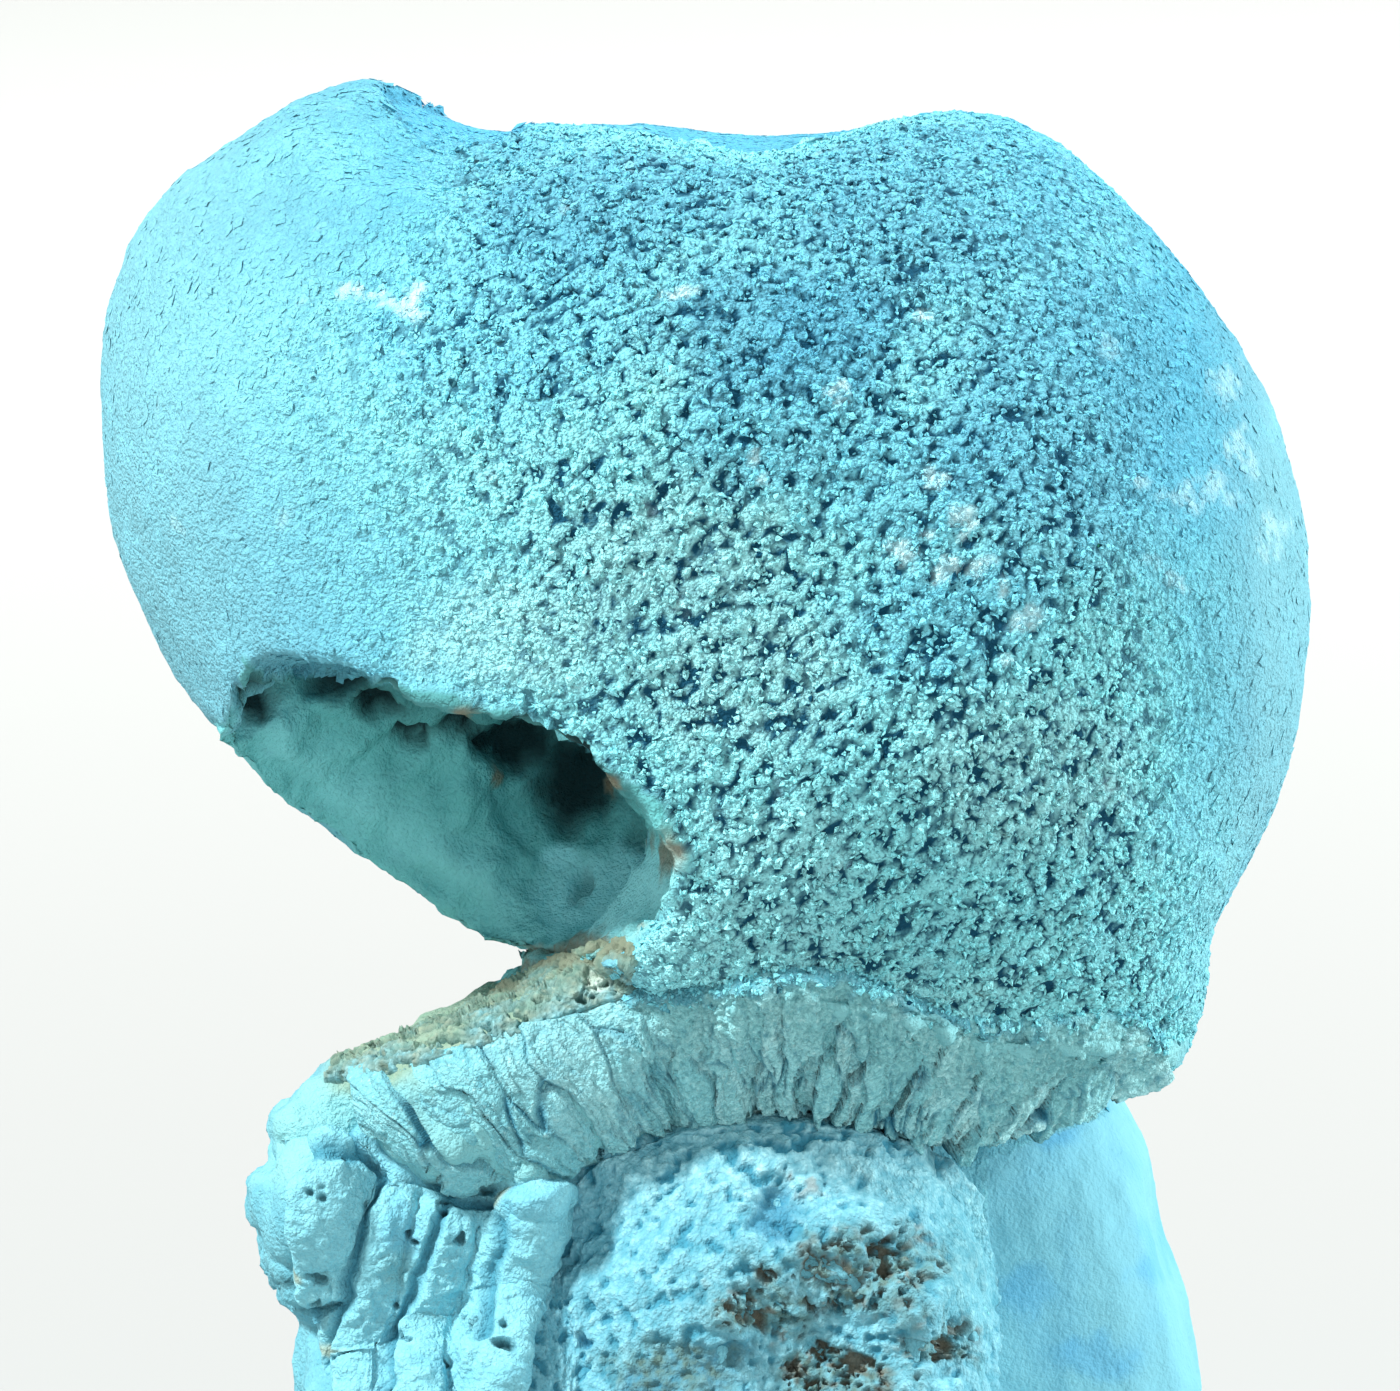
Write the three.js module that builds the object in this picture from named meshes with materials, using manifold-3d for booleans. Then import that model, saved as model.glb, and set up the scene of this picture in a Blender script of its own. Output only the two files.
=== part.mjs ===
// A shattuckite specimen: one grown piece of radially fibrous, powder-blue copper silicate, 40 mm
// tall. A ball with a velvety crust sits on a short stem. The crust is broken off all round the
// underside of the ball, and at the front the fibres under it show as a band of ridges. A mouth
// opens in the ball's lower left side, over a broken jaw. A rounded bud, a curtain of folds and a
// large back lobe make up the stem, and the foot is cut off flat.
//
// Units are millimetres. +X is to the right, +Y runs from front to back and +Z is up. The origin
// is on the flat foot, under the middle of the ball.

import * as THREE from "three";
import { mergeVertices } from "three/addons/utils/BufferGeometryUtils.js";
import Module from "manifold-3d";

// ---- Driving dimensions ------------------------------------------------------------------------

// A lobe is a closed, rounded body. Its outline is what it shows from the front, as [x, z] points
// in order round its centre, and front and back are how far it reaches along Y from there. A
// fullness of 2 makes its section an ellipse, and more makes it squarer. Steps is how many
// divisions its surface has along a quarter turn.
const BALL = {
  centre: [0, 0.5, 27],
  outline: [
    [15.6, 27.8], [14.8, 30.6], [13.45, 33.4], [11.9, 35.8], [9.9, 37.9], [8.3, 39.0],
    [5.8, 39.7], [3.6, 39.5], [1.0, 38.6], [-2.2, 38.85], [-5.0, 38.9], [-6.8, 39.3],
    [-8.6, 40.3], [-10.0, 39.7], [-11.5, 38.7], [-13.4, 37.2], [-14.4, 35.6], [-15.1, 32.3],
    [-15.0, 29.6], [-13.9, 26.4], [-12.2, 24.0], [-10.2, 21.9], [-8.4, 20.6], [-6.5, 19.3],
    [-5.0, 17.9], [-4.2, 15.6], [-1.0, 13.6], [4.0, 12.8], [7.4, 13.2], [10.4, 14.4],
    [12.0, 15.2], [13.0, 16.1], [12.2, 17.7], [14.1, 21.0], [15.2, 24.4],
  ],
  front: 13,
  back: 12.5,
  frontFullness: 2.5,
  backFullness: 2.2,
  steps: 14,
};
const BUD = {
  centre: [1.7, -5.0, 8.0],
  outline: [
    [7.3, 8.0], [6.9, 11.4], [5.2, 14.0], [2.2, 15.3], [-1.0, 14.8], [-3.1, 12.4], [-4.0, 8.6],
    [-3.8, 3.0], [0.0, -2.0], [4.5, -2.0], [6.8, 3.0],
  ],
  front: 5,
  back: 5,
  frontFullness: 2.5,
  backFullness: 2.5,
  steps: 8,
};
// The fibrous wedge that the band of fibres runs out into on the left, and the mouth stops at.
const WEDGE = {
  centre: [-4.6, -3, 16.4],
  outline: [
    [0.4, 17.0], [0.6, 20.4], [-1.6, 21.0], [-5.6, 20.0], [-8.4, 18.6], [-9.5, 17.0],
    [-9.3, 15.8], [-8.3, 15.1], [-7.4, 14.1], [-6.2, 12.9], [-4.4, 13.2], [-2.4, 14.1], [-0.6, 14.8],
  ],
  front: 5.8,
  back: 5,
  frontFullness: 3,
  backFullness: 2.5,
  steps: 7,
};
// What the left side of the stem is built on.
const JAW = {
  centre: [-5.8, -1.8, 8],
  outline: [
    [-2, 8], [-2, 13], [-4, 15.5], [-7, 15.5], [-9.3, 14.4], [-10.2, 12.4], [-9.6, 9.4], [-9.4, 4],
    [-9.0, -2], [-5, -3], [-2, -2],
  ],
  front: 4.8,
  back: 5,
  frontFullness: 3,
  backFullness: 2.5,
  steps: 6,
};
// The upright lobes side by side on the front of the jaw, from left to right.
const FOLDS = [
  {
    centre: [-9.4, -2.4, 13.1],
    outline: [
      [-8.3, 15.9], [-9.0, 15.9], [-9.8, 15.2], [-10.4, 14.3], [-10.7, 13.1], [-10.7, 11.9],
      [-10.6, 10.8], [-10.1, 10.0], [-9.0, 10.2], [-8.6, 11.6], [-7.9, 12.9], [-7.7, 14.4],
    ],
    front: 5.4,
    back: 5,
  },
  {
    centre: [-8.7, -3, 7],
    outline: [
      [-7.3, 12.7], [-7.9, 13.1], [-8.6, 11.9], [-9.1, 10.4], [-9.6, 9.6], [-9.6, 8.0],
      [-9.6, 4.0], [-9.6, -2.0], [-8.4, -2.6], [-7.4, -2.0], [-7.3, 4.0], [-7.3, 8.2],
      [-7.2, 10.5],
    ],
    front: 5.0,
    back: 4,
  },
  {
    centre: [-6.1, -3.4, 7.5],
    outline: [
      [-4.7, 12.9], [-5.5, 13.6], [-6.2, 13.2], [-6.9, 12.0], [-7.3, 10.4], [-7.4, 8.3],
      [-7.4, 4.0], [-7.2, -2.0], [-6.0, -2.6], [-4.8, -2.0], [-4.8, 4.0], [-4.8, 8.3],
      [-4.7, 10.6],
    ],
    front: 5.5,
    back: 4,
  },
  {
    centre: [-4.3, -3.8, 8.6],
    outline: [
      [-2.5, 13.9], [-3.4, 14.6], [-4.4, 13.4], [-4.9, 10.8], [-5.3, 8.3], [-5.5, 4.0],
      [-5.4, -2.0], [-4.6, -2.6], [-3.6, -2.0], [-3.6, 4.0], [-3.4, 8.0], [-3.0, 11.0],
    ],
    front: 5.6,
    back: 4,
  },
];
const FOLD_FULLNESS = 2;
const FOLD_STEPS = 5;
const BACK_LOBE = {
  centre: [2, 4.4, 6],
  outline: [
    [12.9, 6.0], [12.1, 10.0], [11.1, 13.4], [8.6, 17.0], [3.0, 18.6], [-3.0, 17.0], [-7.0, 12.6],
    [-9.0, 7.0], [-9.4, 1.0], [-8.0, -3.0], [2.0, -4.6], [12.0, -3.0], [13.4, 2.0],
  ],
  front: 7,
  back: 8.4,
  frontFullness: 2.5,
  backFullness: 2.3,
  steps: 8,
};
// What is scooped out of the ball. Its lower right side is the mouth's inner corner.
const MOUTH = {
  centre: [-6.5, -10, 21.2],
  outline: [
    [-0.4, 21.6], [-0.3, 22.5], [-0.9, 23.4], [-2.0, 24.1], [-3.2, 24.9], [-4.4, 25.5],
    [-6.0, 26.0], [-7.4, 26.3], [-9.0, 26.7], [-10.6, 26.8], [-11.6, 26.0], [-12.0, 24.4],
    [-13.2, 21.5], [-13.4, 17.0], [-10.0, 14.5], [-6.6, 15.5], [-3.6, 18.6], [-2.4, 19.5], [-1.2, 20.4],
  ],
  front: 8,
  back: 9,
  frontFullness: 2.5,
  backFullness: 2.3,
  steps: 7,
};
// The mouth stops at the wedge's top, which rises to the right and dips to the back.
const JAW_TOP = {
  through: [-4.75, -9, 17.9],
  rise: 24,
  dip: -3,
  size: 30,
  thickness: 12,
  divisions: 12,
};
// Rounded pockets in the mouth's roof, the deepest of them the throat.
const POCKETS = [
  { at: [-3.4, -3.0, 22.4], radius: 3.2 },
  { at: [-6.4, -4.6, 25.0], radius: 1.6 },
  { at: [-9.4, -4.6, 25.6], radius: 1.4 },
  { at: [-11.0, -4.8, 25.0], radius: 0.9 },
];

// The crust is broken off below this line, given as [x, z] at the front of the ball. Towards the
// back the line drops by crustDrop for each millimetre.
const CRUST_EDGE = [
  [-20, 20.6], [-6, 20.2], [-2.6, 19.9], [-1.2, 19.0], [0.2, 19.3], [1.6, 18.8], [3.0, 19.2],
  [4.4, 18.8], [5.8, 18.7], [6.6, 18.1], [8.0, 18.0], [9.0, 17.4], [10.6, 17.5], [11.8, 16.9],
  [20, 16.2],
];
const CRUST_FRONT = -13;
const CRUST_DEPTH = 40;
const CRUST_DROP = 0.14;
const CRUST_THICKNESS = 0.9;

// The band of fibres, in bundles that run from a root to a tip. Both are on curves given as [x, z].
// Each bundle has a groove, a crest and a shoulder, at these heights over the ball.
const BAND = {
  roots: [
    [-8.0, 14.4], [-6.2, 13.1], [-4.4, 13.7], [-2.4, 14.2], [-0.9, 14.7], [0.8, 14.9], [2.6, 15.0],
    [4.3, 14.7], [6.1, 14.2], [8.2, 14.1], [9.8, 14.9],
  ],
  tips: [
    [-8.3, 15.9], [-7.2, 16.4], [-5.5, 17.1], [-3.4, 17.8], [-1.6, 18.4], [0.4, 18.8], [2.4, 19.0],
    [4.6, 18.6], [6.8, 17.9], [9.2, 17.3], [11.6, 16.7],
  ],
  bundles: 24,
  heights: [0.15, 0.6, 0.4],
  uneven: 0.14,
  sway: 0.3,
  outward: [0, -0.8, -0.6],
  depth: 1.5,
  rows: 2,
};

// Rounded swellings and hollows: where, how wide, and how high, below 0 for a hollow.
const BALL_SPOTS = [
  { at: [-6.6, -4.5, 39.9], radius: 2.1, height: -1.6 },
  { at: [-7.5, 11.0, 32.5], radius: 5.0, height: 1.5 },
  { at: [7.0, 12.0, 26.0], radius: 6.0, height: 1.2 },
  { at: [-4.0, 12.5, 22.0], radius: 4.0, height: 1.1 },
  { at: [1.0, 12.0, 33.5], radius: 2.6, height: -1.0 },
  { at: [3.0, 3.0, 39.2], radius: 4.0, height: -0.9 },
];
// Broken-out hollows and pits in the bud and the jaw.
const PITS = [
  { at: [3.3, -10.2, 10.0], radius: 2.5, stretch: [1.2, 0.65, 0.9] },
  { at: [4.4, -9.2, 12.0], radius: 0.9 },
  { at: [6.0, -8.4, 9.6], radius: 0.9 },
  { at: [1.4, -9.8, 11.4], radius: 0.7 },
  { at: [-2.8, -8.6, 9.8], radius: 0.5 },
  { at: [-10.2, -5.8, 10.8], radius: 0.7 },
  { at: [-9.2, -6.8, 9.9], radius: 0.8, stretch: [1.3, 1, 0.35] },
  { at: [-2.3, -8.6, 14.2], radius: 0.6 },
  { at: [-2.5, -8.8, 18.9], radius: 0.7 },
];
const POCKET_STEPS = 3;
// Small knobs on the left edge of the jaw.
const KNOBS = [
  { at: [-9.8, -4.6, 13.2], radius: 1.2 },
  { at: [-8.9, -5.6, 15.0], radius: 1.2 },
  { at: [-9.3, -5.4, 11.0], radius: 1.3 },
];

// Rolling lumps on each surface: how high, how far apart, and where the pattern starts.
const CRUST_LUMPS = [
  { height: 0.28, size: 7, seed: 1.3 },
  { height: 0.08, size: 3.4, seed: 4.1 },
];
const CORE_LUMPS = [{ height: 0.28, size: 7, seed: 1.3 }];
const JAW_LUMPS = [{ height: 0.22, size: 2.9, seed: 2.7 }];
const BUD_LUMPS = [{ height: 0.16, size: 3.1, seed: 5.2 }];
const BACK_LUMPS = [
  { height: 0.4, size: 6, seed: 3.3 },
  { height: 0.12, size: 3, seed: 1.1 },
];
const MOUTH_LUMPS = [{ height: 0.25, size: 3.2, seed: 0.9 }];
const JAW_TOP_LUMPS = [{ height: 0.22, size: 3.6, seed: 2.2 }];
// A pocket's lumps, as shares of its radius.
const POCKET_LUMPS = { height: 0.15, size: 2, seed: 1 };

// Everything below the foot's plane is cut off.
const FLOOR = { size: 60, depth: 20 };

const WELD = 1e-5;
const GOLDEN_ANGLE = Math.PI * (3 - Math.sqrt(5));
const LUMP_WAVES = 6;
const LUMP_STRETCH = 0.13;
const LUMP_GAIN = 1.7;
// How fast an outline gives way to its average towards a lobe's front and back.
const RIM_POWER = 6;
const AVERAGE_SAMPLES = 24;
const AVERAGE_HALF_ANGLE = Math.PI / 3;

// ---- Shape functions ---------------------------------------------------------------------------

const wasm = await Module();
wasm.setup();

// Rolling lumps from about -1 to 1: waves along directions spread evenly over a sphere, each out
// of step with the last and a little longer, so that they never line up.
function lumps({ x, y, z }, size, seed) {
  let sum = 0;
  for (let i = 0; i < LUMP_WAVES; i += 1) {
    const height = 1 - (2 * i + 1) / LUMP_WAVES;
    const flat = Math.sqrt(1 - height * height);
    const turn = i * GOLDEN_ANGLE + seed;
    const along = x * flat * Math.cos(turn) + y * flat * Math.sin(turn) + z * height;
    const wavelength = size * (1 + LUMP_STRETCH * i);
    sum += Math.sin((2 * Math.PI * along) / wavelength + seed * (i + 1));
  }
  return (sum / LUMP_WAVES) * LUMP_GAIN;
}

// The relief that the layers of lumps make together.
function lumpy(layers) {
  return (point) =>
    layers.reduce((sum, { height, size, seed }) => sum + height * lumps(point, size, seed), 0);
}

// 1 at a place, and fading to nothing at about twice the radius.
function spot(point, at, radius) {
  const distance = point.distanceTo(new THREE.Vector3(...at)) / radius;
  return Math.exp(-distance * distance);
}

// The outline's radius as a function of angle, smooth between its points.
function polarRadius(outline, [cx, , cz]) {
  const points = outline
    .map(([x, z]) => ({ angle: Math.atan2(z - cz, x - cx), radius: Math.hypot(x - cx, z - cz) }))
    .sort((a, b) => a.angle - b.angle);
  const count = points.length;
  const at = (i) => {
    const turn = Math.floor(i / count);
    const { angle, radius } = points[i - turn * count];
    return { angle: angle + turn * 2 * Math.PI, radius };
  };
  return (angle) => {
    const turns = Math.floor((angle - points[0].angle) / (2 * Math.PI));
    const within = angle - turns * 2 * Math.PI;
    let i = 0;
    while (at(i + 1).angle <= within) i += 1;
    const [before, start, end, after] = [at(i - 1), at(i), at(i + 1), at(i + 2)];
    const span = end.angle - start.angle;
    const t = (within - start.angle) / span;
    const leaving = ((end.radius - before.radius) / (end.angle - before.angle)) * span;
    const arriving = ((after.radius - start.radius) / (after.angle - start.angle)) * span;
    return (
      (2 * t ** 3 - 3 * t ** 2 + 1) * start.radius +
      (t ** 3 - 2 * t ** 2 + t) * leaving +
      (3 * t ** 2 - 2 * t ** 3) * end.radius +
      (t ** 3 - t ** 2) * arriving
    );
  };
}

// The radius averaged over a third of a turn: what is left of an outline towards the poles.
function averaged(radius) {
  return (angle) => {
    let sum = 0;
    for (let i = 0; i <= AVERAGE_SAMPLES; i += 1) {
      sum += radius(angle + AVERAGE_HALF_ANGLE * ((2 * i) / AVERAGE_SAMPLES - 1));
    }
    return sum / (AVERAGE_SAMPLES + 1);
  };
}

// A closed geometry with only positions and shared vertices.
function welded(geometry) {
  geometry.deleteAttribute("normal");
  geometry.deleteAttribute("uv");
  return mergeVertices(geometry, WELD);
}

function solidOf(geometry) {
  return new wasm.Manifold(
    new wasm.Mesh({
      numProp: 3,
      vertProperties: new Float32Array(geometry.attributes.position.array),
      triVerts: new Uint32Array(geometry.index.array),
    }),
  );
}

// A sphere of radius 1 with no poles: a divided box, blown up.
function sphere(steps) {
  const box = welded(new THREE.BoxGeometry(2, 2, 2, steps, steps, steps));
  const { position } = box.attributes;
  for (let i = 0; i < position.count; i += 1) {
    const even = [position.getX(i), position.getY(i), position.getZ(i)].map((side) =>
      Math.tan((side * Math.PI) / 4),
    );
    position.setXYZ(i, ...new THREE.Vector3(...even).normalize().toArray());
  }
  return box;
}

// Moves each vertex along its normal by relief(point).
function raised(geometry, relief) {
  geometry.computeVertexNormals();
  const { position, normal } = geometry.attributes;
  for (let i = 0; i < position.count; i += 1) {
    const point = new THREE.Vector3().fromBufferAttribute(position, i);
    const outward = new THREE.Vector3().fromBufferAttribute(normal, i);
    position.setXYZ(i, ...point.addScaledVector(outward, relief(point)).toArray());
  }
  return geometry;
}

// A lobe: the sphere's waist round the Y axis is stretched to the outline, and its section is
// made a superellipse. Then relief(point) moves its surface.
function lobe(shape, relief) {
  const { centre, outline, front, back, frontFullness, backFullness, steps } = shape;
  const geometry = sphere(steps);
  const { position } = geometry.attributes;
  const rim = polarRadius(outline, centre);
  const round = averaged(rim);
  for (let i = 0; i < position.count; i += 1) {
    const [x, y, z] = [position.getX(i), position.getY(i), position.getZ(i)];
    const waist = Math.hypot(x, z);
    const angle = Math.atan2(z, x);
    const power = 2 / (y < 0 ? frontFullness : backFullness);
    const rimShare = waist ** RIM_POWER;
    const radius = (rim(angle) * rimShare + round(angle) * (1 - rimShare)) * waist ** power;
    position.setXYZ(
      i,
      centre[0] + radius * Math.cos(angle),
      centre[1] + Math.sign(y) * Math.abs(y) ** power * (y < 0 ? front : back),
      centre[2] + radius * Math.sin(angle),
    );
  }
  return solidOf(raised(geometry, relief));
}

// A lumpy ball, stretched along X, Y and Z where stretch is given.
function pocket({ at, radius, stretch = [1, 1, 1] }) {
  const geometry = sphere(POCKET_STEPS);
  geometry.scale(...stretch.map((factor) => factor * radius));
  geometry.translate(...at);
  const { height, size, seed } = POCKET_LUMPS;
  return solidOf(raised(geometry, lumpy([{ height: height * radius, size: size * radius, seed }])));
}

// ---- The specimen ------------------------------------------------------------------------------

// A slab that lies below the wedge's lumpy top, or above it.
function slabAtJaw(side) {
  const { through, rise, dip, size, thickness, divisions } = JAW_TOP;
  const box = new THREE.BoxGeometry(size, size, thickness, divisions, divisions, 1);
  box.translate(0, 0, side === "below" ? -thickness / 2 : thickness / 2);
  const slab = welded(box);
  const { position } = slab.attributes;
  const relief = lumpy(JAW_TOP_LUMPS);
  for (let i = 0; i < position.count; i += 1) {
    const onTop = Math.abs(position.getZ(i)) < thickness / 2;
    if (onTop) position.setZ(i, relief(new THREE.Vector3().fromBufferAttribute(position, i)));
  }
  slab.rotateX(THREE.MathUtils.degToRad(dip));
  slab.rotateY(-THREE.MathUtils.degToRad(rise));
  slab.translate(...through);
  return solidOf(slab);
}

function mouth() {
  const pockets = POCKETS.map((each) => pocket(each));
  const hollow = wasm.Manifold.union([lobe(MOUTH, lumpy(MOUTH_LUMPS)), ...pockets]);
  return hollow.subtract(slabAtJaw("below"));
}

// Everything below the crust's broken edge: a profile swept from front to back.
function belowEdge() {
  const [[left], [right]] = [CRUST_EDGE[0], CRUST_EDGE.at(-1)];
  const profile = new THREE.Shape();
  profile.moveTo(left, 0);
  profile.lineTo(right, 0);
  for (const [x, z] of [...CRUST_EDGE].reverse()) profile.lineTo(x, z);
  profile.closePath();
  const swept = new THREE.ExtrudeGeometry(profile, { depth: CRUST_DEPTH, bevelEnabled: false });
  swept.rotateX(Math.PI / 2);
  swept.translate(0, CRUST_DEPTH + CRUST_FRONT, 0);
  const closed = welded(swept);
  const { position } = closed.attributes;
  for (let i = 0; i < position.count; i += 1) {
    const drop = CRUST_DROP * (position.getY(i) - CRUST_FRONT);
    position.setZ(i, position.getZ(i) - drop);
  }
  return solidOf(closed);
}

function ball() {
  const grown = lumpy(CRUST_LUMPS);
  const swollen = (point) =>
    BALL_SPOTS.reduce((sum, { at, radius, height }) => sum + height * spot(point, at, radius), 0);
  const crust = lobe(BALL, (point) => grown(point) + swollen(point)).subtract(belowEdge());
  const inner = lumpy(CORE_LUMPS);
  const core = lobe(BALL, (point) => inner(point) - CRUST_THICKNESS);
  return crust.add(core).subtract(mouth());
}

// The point of the solid's front that is seen at [x, z].
function frontOf(mesh, x, z) {
  const from = new THREE.Vector3(x, -FLOOR.size, z);
  const [hit] = new THREE.Raycaster(from, new THREE.Vector3(0, 1, 0)).intersectObject(mesh);
  return hit.point;
}

// The band laid over the front of the solid: a divided box, bent along the two curves.
function band(solid) {
  const { roots, tips, bundles, heights, uneven, sway, outward, depth, rows } = BAND;
  const mesh = new THREE.Mesh(geometryOf(solid));
  const curves = [roots, tips].map(
    (points) => new THREE.CatmullRomCurve3(points.map(([x, z]) => new THREE.Vector3(x, 0, z))),
  );
  const columns = bundles * heights.length;
  const direction = new THREE.Vector3(...outward);
  const box = welded(new THREE.BoxGeometry(1, 1, 1, columns, 1, rows));
  const { position } = box.attributes;
  for (let i = 0; i < position.count; i += 1) {
    const column = Math.round((position.getX(i) + 0.5) * columns);
    const up = position.getZ(i) + 0.5;
    const atEnd = column === 0 || column === columns;
    const along = (column + (atEnd ? 0 : sway * Math.sin(column * GOLDEN_ANGLE))) / columns;
    const [root, tip] = curves.map((curve) => curve.getPoint(along));
    const seen = root.lerp(tip, up);
    const point = frontOf(mesh, seen.x, seen.z);
    const swell = uneven * Math.sin(column * GOLDEN_ANGLE + 2 * up);
    const ridge = heights[column % heights.length] + swell;
    const height = position.getY(i) < 0 ? ridge : -depth;
    position.setXYZ(i, ...point.addScaledVector(direction, height).toArray());
  }
  return solidOf(box);
}

function folds() {
  const fullness = { frontFullness: FOLD_FULLNESS, backFullness: FOLD_FULLNESS };
  return FOLDS.map((fold) => lobe({ ...fold, ...fullness, steps: FOLD_STEPS }, lumpy(BUD_LUMPS)));
}

function specimen() {
  const jaw = lobe(JAW, lumpy(JAW_LUMPS));
  const wedge = lobe(WEDGE, lumpy(JAW_LUMPS)).subtract(slabAtJaw("above"));
  const inner = wasm.Manifold.union([ball(), wedge, jaw, lobe(BACK_LOBE, lumpy(BACK_LUMPS))]);
  const bud = lobe(BUD, lumpy(BUD_LUMPS));
  const knobs = KNOBS.map((knob) => pocket(knob));
  const grown = wasm.Manifold.union([inner, band(inner), bud, ...folds(), ...knobs]);
  const floor = new THREE.BoxGeometry(FLOOR.size, FLOOR.size, FLOOR.depth);
  floor.translate(0, 0, -FLOOR.depth / 2);
  const cuts = [...PITS.map((pit) => pocket(pit)), solidOf(welded(floor))];
  return grown.subtract(wasm.Manifold.union(cuts));
}

function geometryOf(solid) {
  const mesh = solid.getMesh();
  const geometry = new THREE.BufferGeometry();
  geometry.setAttribute("position", new THREE.BufferAttribute(mesh.vertProperties, 3));
  geometry.setIndex(new THREE.BufferAttribute(mesh.triVerts, 1));
  geometry.computeVertexNormals();
  return geometry;
}

const powderBlue = new THREE.MeshStandardMaterial({
  color: 0x6cc3d8,
  roughness: 0.95,
  metalness: 0,
});
const body = new THREE.Mesh(geometryOf(specimen()), powderBlue);
body.name = "shattuckite_specimen";

const group = new THREE.Group();
group.add(body);

export default group;
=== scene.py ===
"""A shattuckite specimen: a ball of fine blue velvet on a broken stem, with a mouth low on its left
above a rusty jaw, a rim of pale fibres under the ball, folds on the left of the stem, a sugary bud in
the middle and a smooth lobe at the right and behind. Lengths are in millimetres until a mesh is
written. Marks at the front are laid out on the sight plane: the upright plane through the point that
the view is aimed at, as the eye sees it, in millimetres across and up from that point."""
import math

import bmesh
import bpy
import numpy as np
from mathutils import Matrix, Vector
from mathutils.bvhtree import BVHTree


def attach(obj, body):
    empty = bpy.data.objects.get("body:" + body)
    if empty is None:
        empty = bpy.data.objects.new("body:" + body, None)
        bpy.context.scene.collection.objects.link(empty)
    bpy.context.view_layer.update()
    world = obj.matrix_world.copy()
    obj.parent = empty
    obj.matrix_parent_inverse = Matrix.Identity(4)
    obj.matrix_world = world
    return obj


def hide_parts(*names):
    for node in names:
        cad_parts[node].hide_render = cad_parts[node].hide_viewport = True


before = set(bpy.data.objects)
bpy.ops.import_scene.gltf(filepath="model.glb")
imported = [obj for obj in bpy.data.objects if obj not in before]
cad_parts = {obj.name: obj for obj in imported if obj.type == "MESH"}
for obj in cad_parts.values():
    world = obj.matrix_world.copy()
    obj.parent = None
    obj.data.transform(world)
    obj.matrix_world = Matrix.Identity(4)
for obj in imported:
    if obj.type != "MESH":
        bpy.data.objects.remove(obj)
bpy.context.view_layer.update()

NODE = "shattuckite_specimen"
MM = 0.001

# The view that the marks at the front are laid out for: its tilt, distance, aim and directions.
VIEW_TILT = math.radians(8)
VIEW_DISTANCE = 260.0
VIEW_AIM = np.array([0.0, 0.0, 24.627])
VIEW_BACK = np.array([0.0, -math.cos(VIEW_TILT), math.sin(VIEW_TILT)])
VIEW_UP = np.array([0.0, math.sin(VIEW_TILT), math.cos(VIEW_TILT)])
FRAME_WIDTH = 35.0
SENSOR_WIDTH = 36.0
NEAREST_SEEN = 0.01  # in metres, as the next one
FARTHEST_SEEN = 20.0

BALL_CENTRE = np.array([0.0, 0.5, 27.0])
BALL_VOXEL = 0.20
STEM_VOXEL = 0.175
BALL_ROUNDS = 8  # of smoothing
STEM_ROUNDS = 3
SPLIT_FRONT = -13.0  # where the line between crust and stem is drawn, and how it falls to the back
SPLIT_DROP = 0.14
SPLIT_REACH = (-10.0, 50.0)
SPLIT_FOOT = -10.0
# The middle line between crust and stem, at the front of the ball, across and up.
SPLIT_LINE = np.array([
    [-20, 20.6], [-6, 20.2], [-2.6, 19.9], [-1.2, 19], [0.2, 19.3], [1.6, 18.8], [3, 19.2], [4.4, 18.8],
    [5.8, 18.7], [6.6, 18.1], [8, 18], [9, 17.4], [10.6, 17.5], [11.8, 16.9], [20, 16.2],
])
# The lower edge of the velvet crust on the sight plane, across and up.
CRUST_EDGE = np.array([
    [-20, -7.0], [-2.6, -7.0], [-2.0, -7.4], [-1.6, -7.65], [-0.3, -7.7], [1.1, -7.4], [2.4, -7.15],
    [3.75, -7.25], [5.75, -8.1], [7.9, -8.5], [9.1, -8.35], [10.9, -8.25], [11.2, -8.9], [12.6, -8.6],
    [20, -8.6],
])

# The ground that the sheets are laid on: the net's cell, its low corner and its size.
GROUND_CELL = 0.25
GROUND_LOW = np.array([-16.0, -27.0])
GROUND_SIZE = np.array([32.0, 43.0])

GROWTH_CENTRE = np.array([2.4, -18.9])  # every fibre leans away from it
RIM_REACH = 10.0  # from it to the rim
BEND_SIZE = 2.0  # the fan's bends: their size, their strength and the slice and seed of their noise
BEND = 0.035
BEND_SLICE = 0.37
BEND_SEED = 71

VELVET_RISE = 0.26
VELVET_SUNK = 0.10
SPACINGS = (0.1, 0.13, 0.25)  # between the crumbs: on the coarse stripe, on the fine parts, behind
CLOSENESS = 1.6  # points tried for, per square of the spacing
COARSE_FROM = 0.3
FEWEST = 200  # a zone with fewer corners of the net gets no crumbs
GRAINS_IN_PIECE = 24000
SCATTER_SEED = 3
CRUMB_SEED = 5
LEDGE_TOP = 20.0  # velvet that faces up below it is the lower lip's
LEDGE_AZURE = 0.4
SHEET_FOOT = 0.05  # a sheet ends this far above the floor
# How many places each sheet's net has along its lines and between them.
RIM_NET = (560, 128)
JAW_NET = (260, 60)
FOLDS_NET = (240, 200)
BUD_NET = (250, 250)
NOISE_GAIN = 1.6
FAR = 99.0  # past every distance that is compared


# ---------------------------------------------------------------- numbers that look random, and noise

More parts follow.
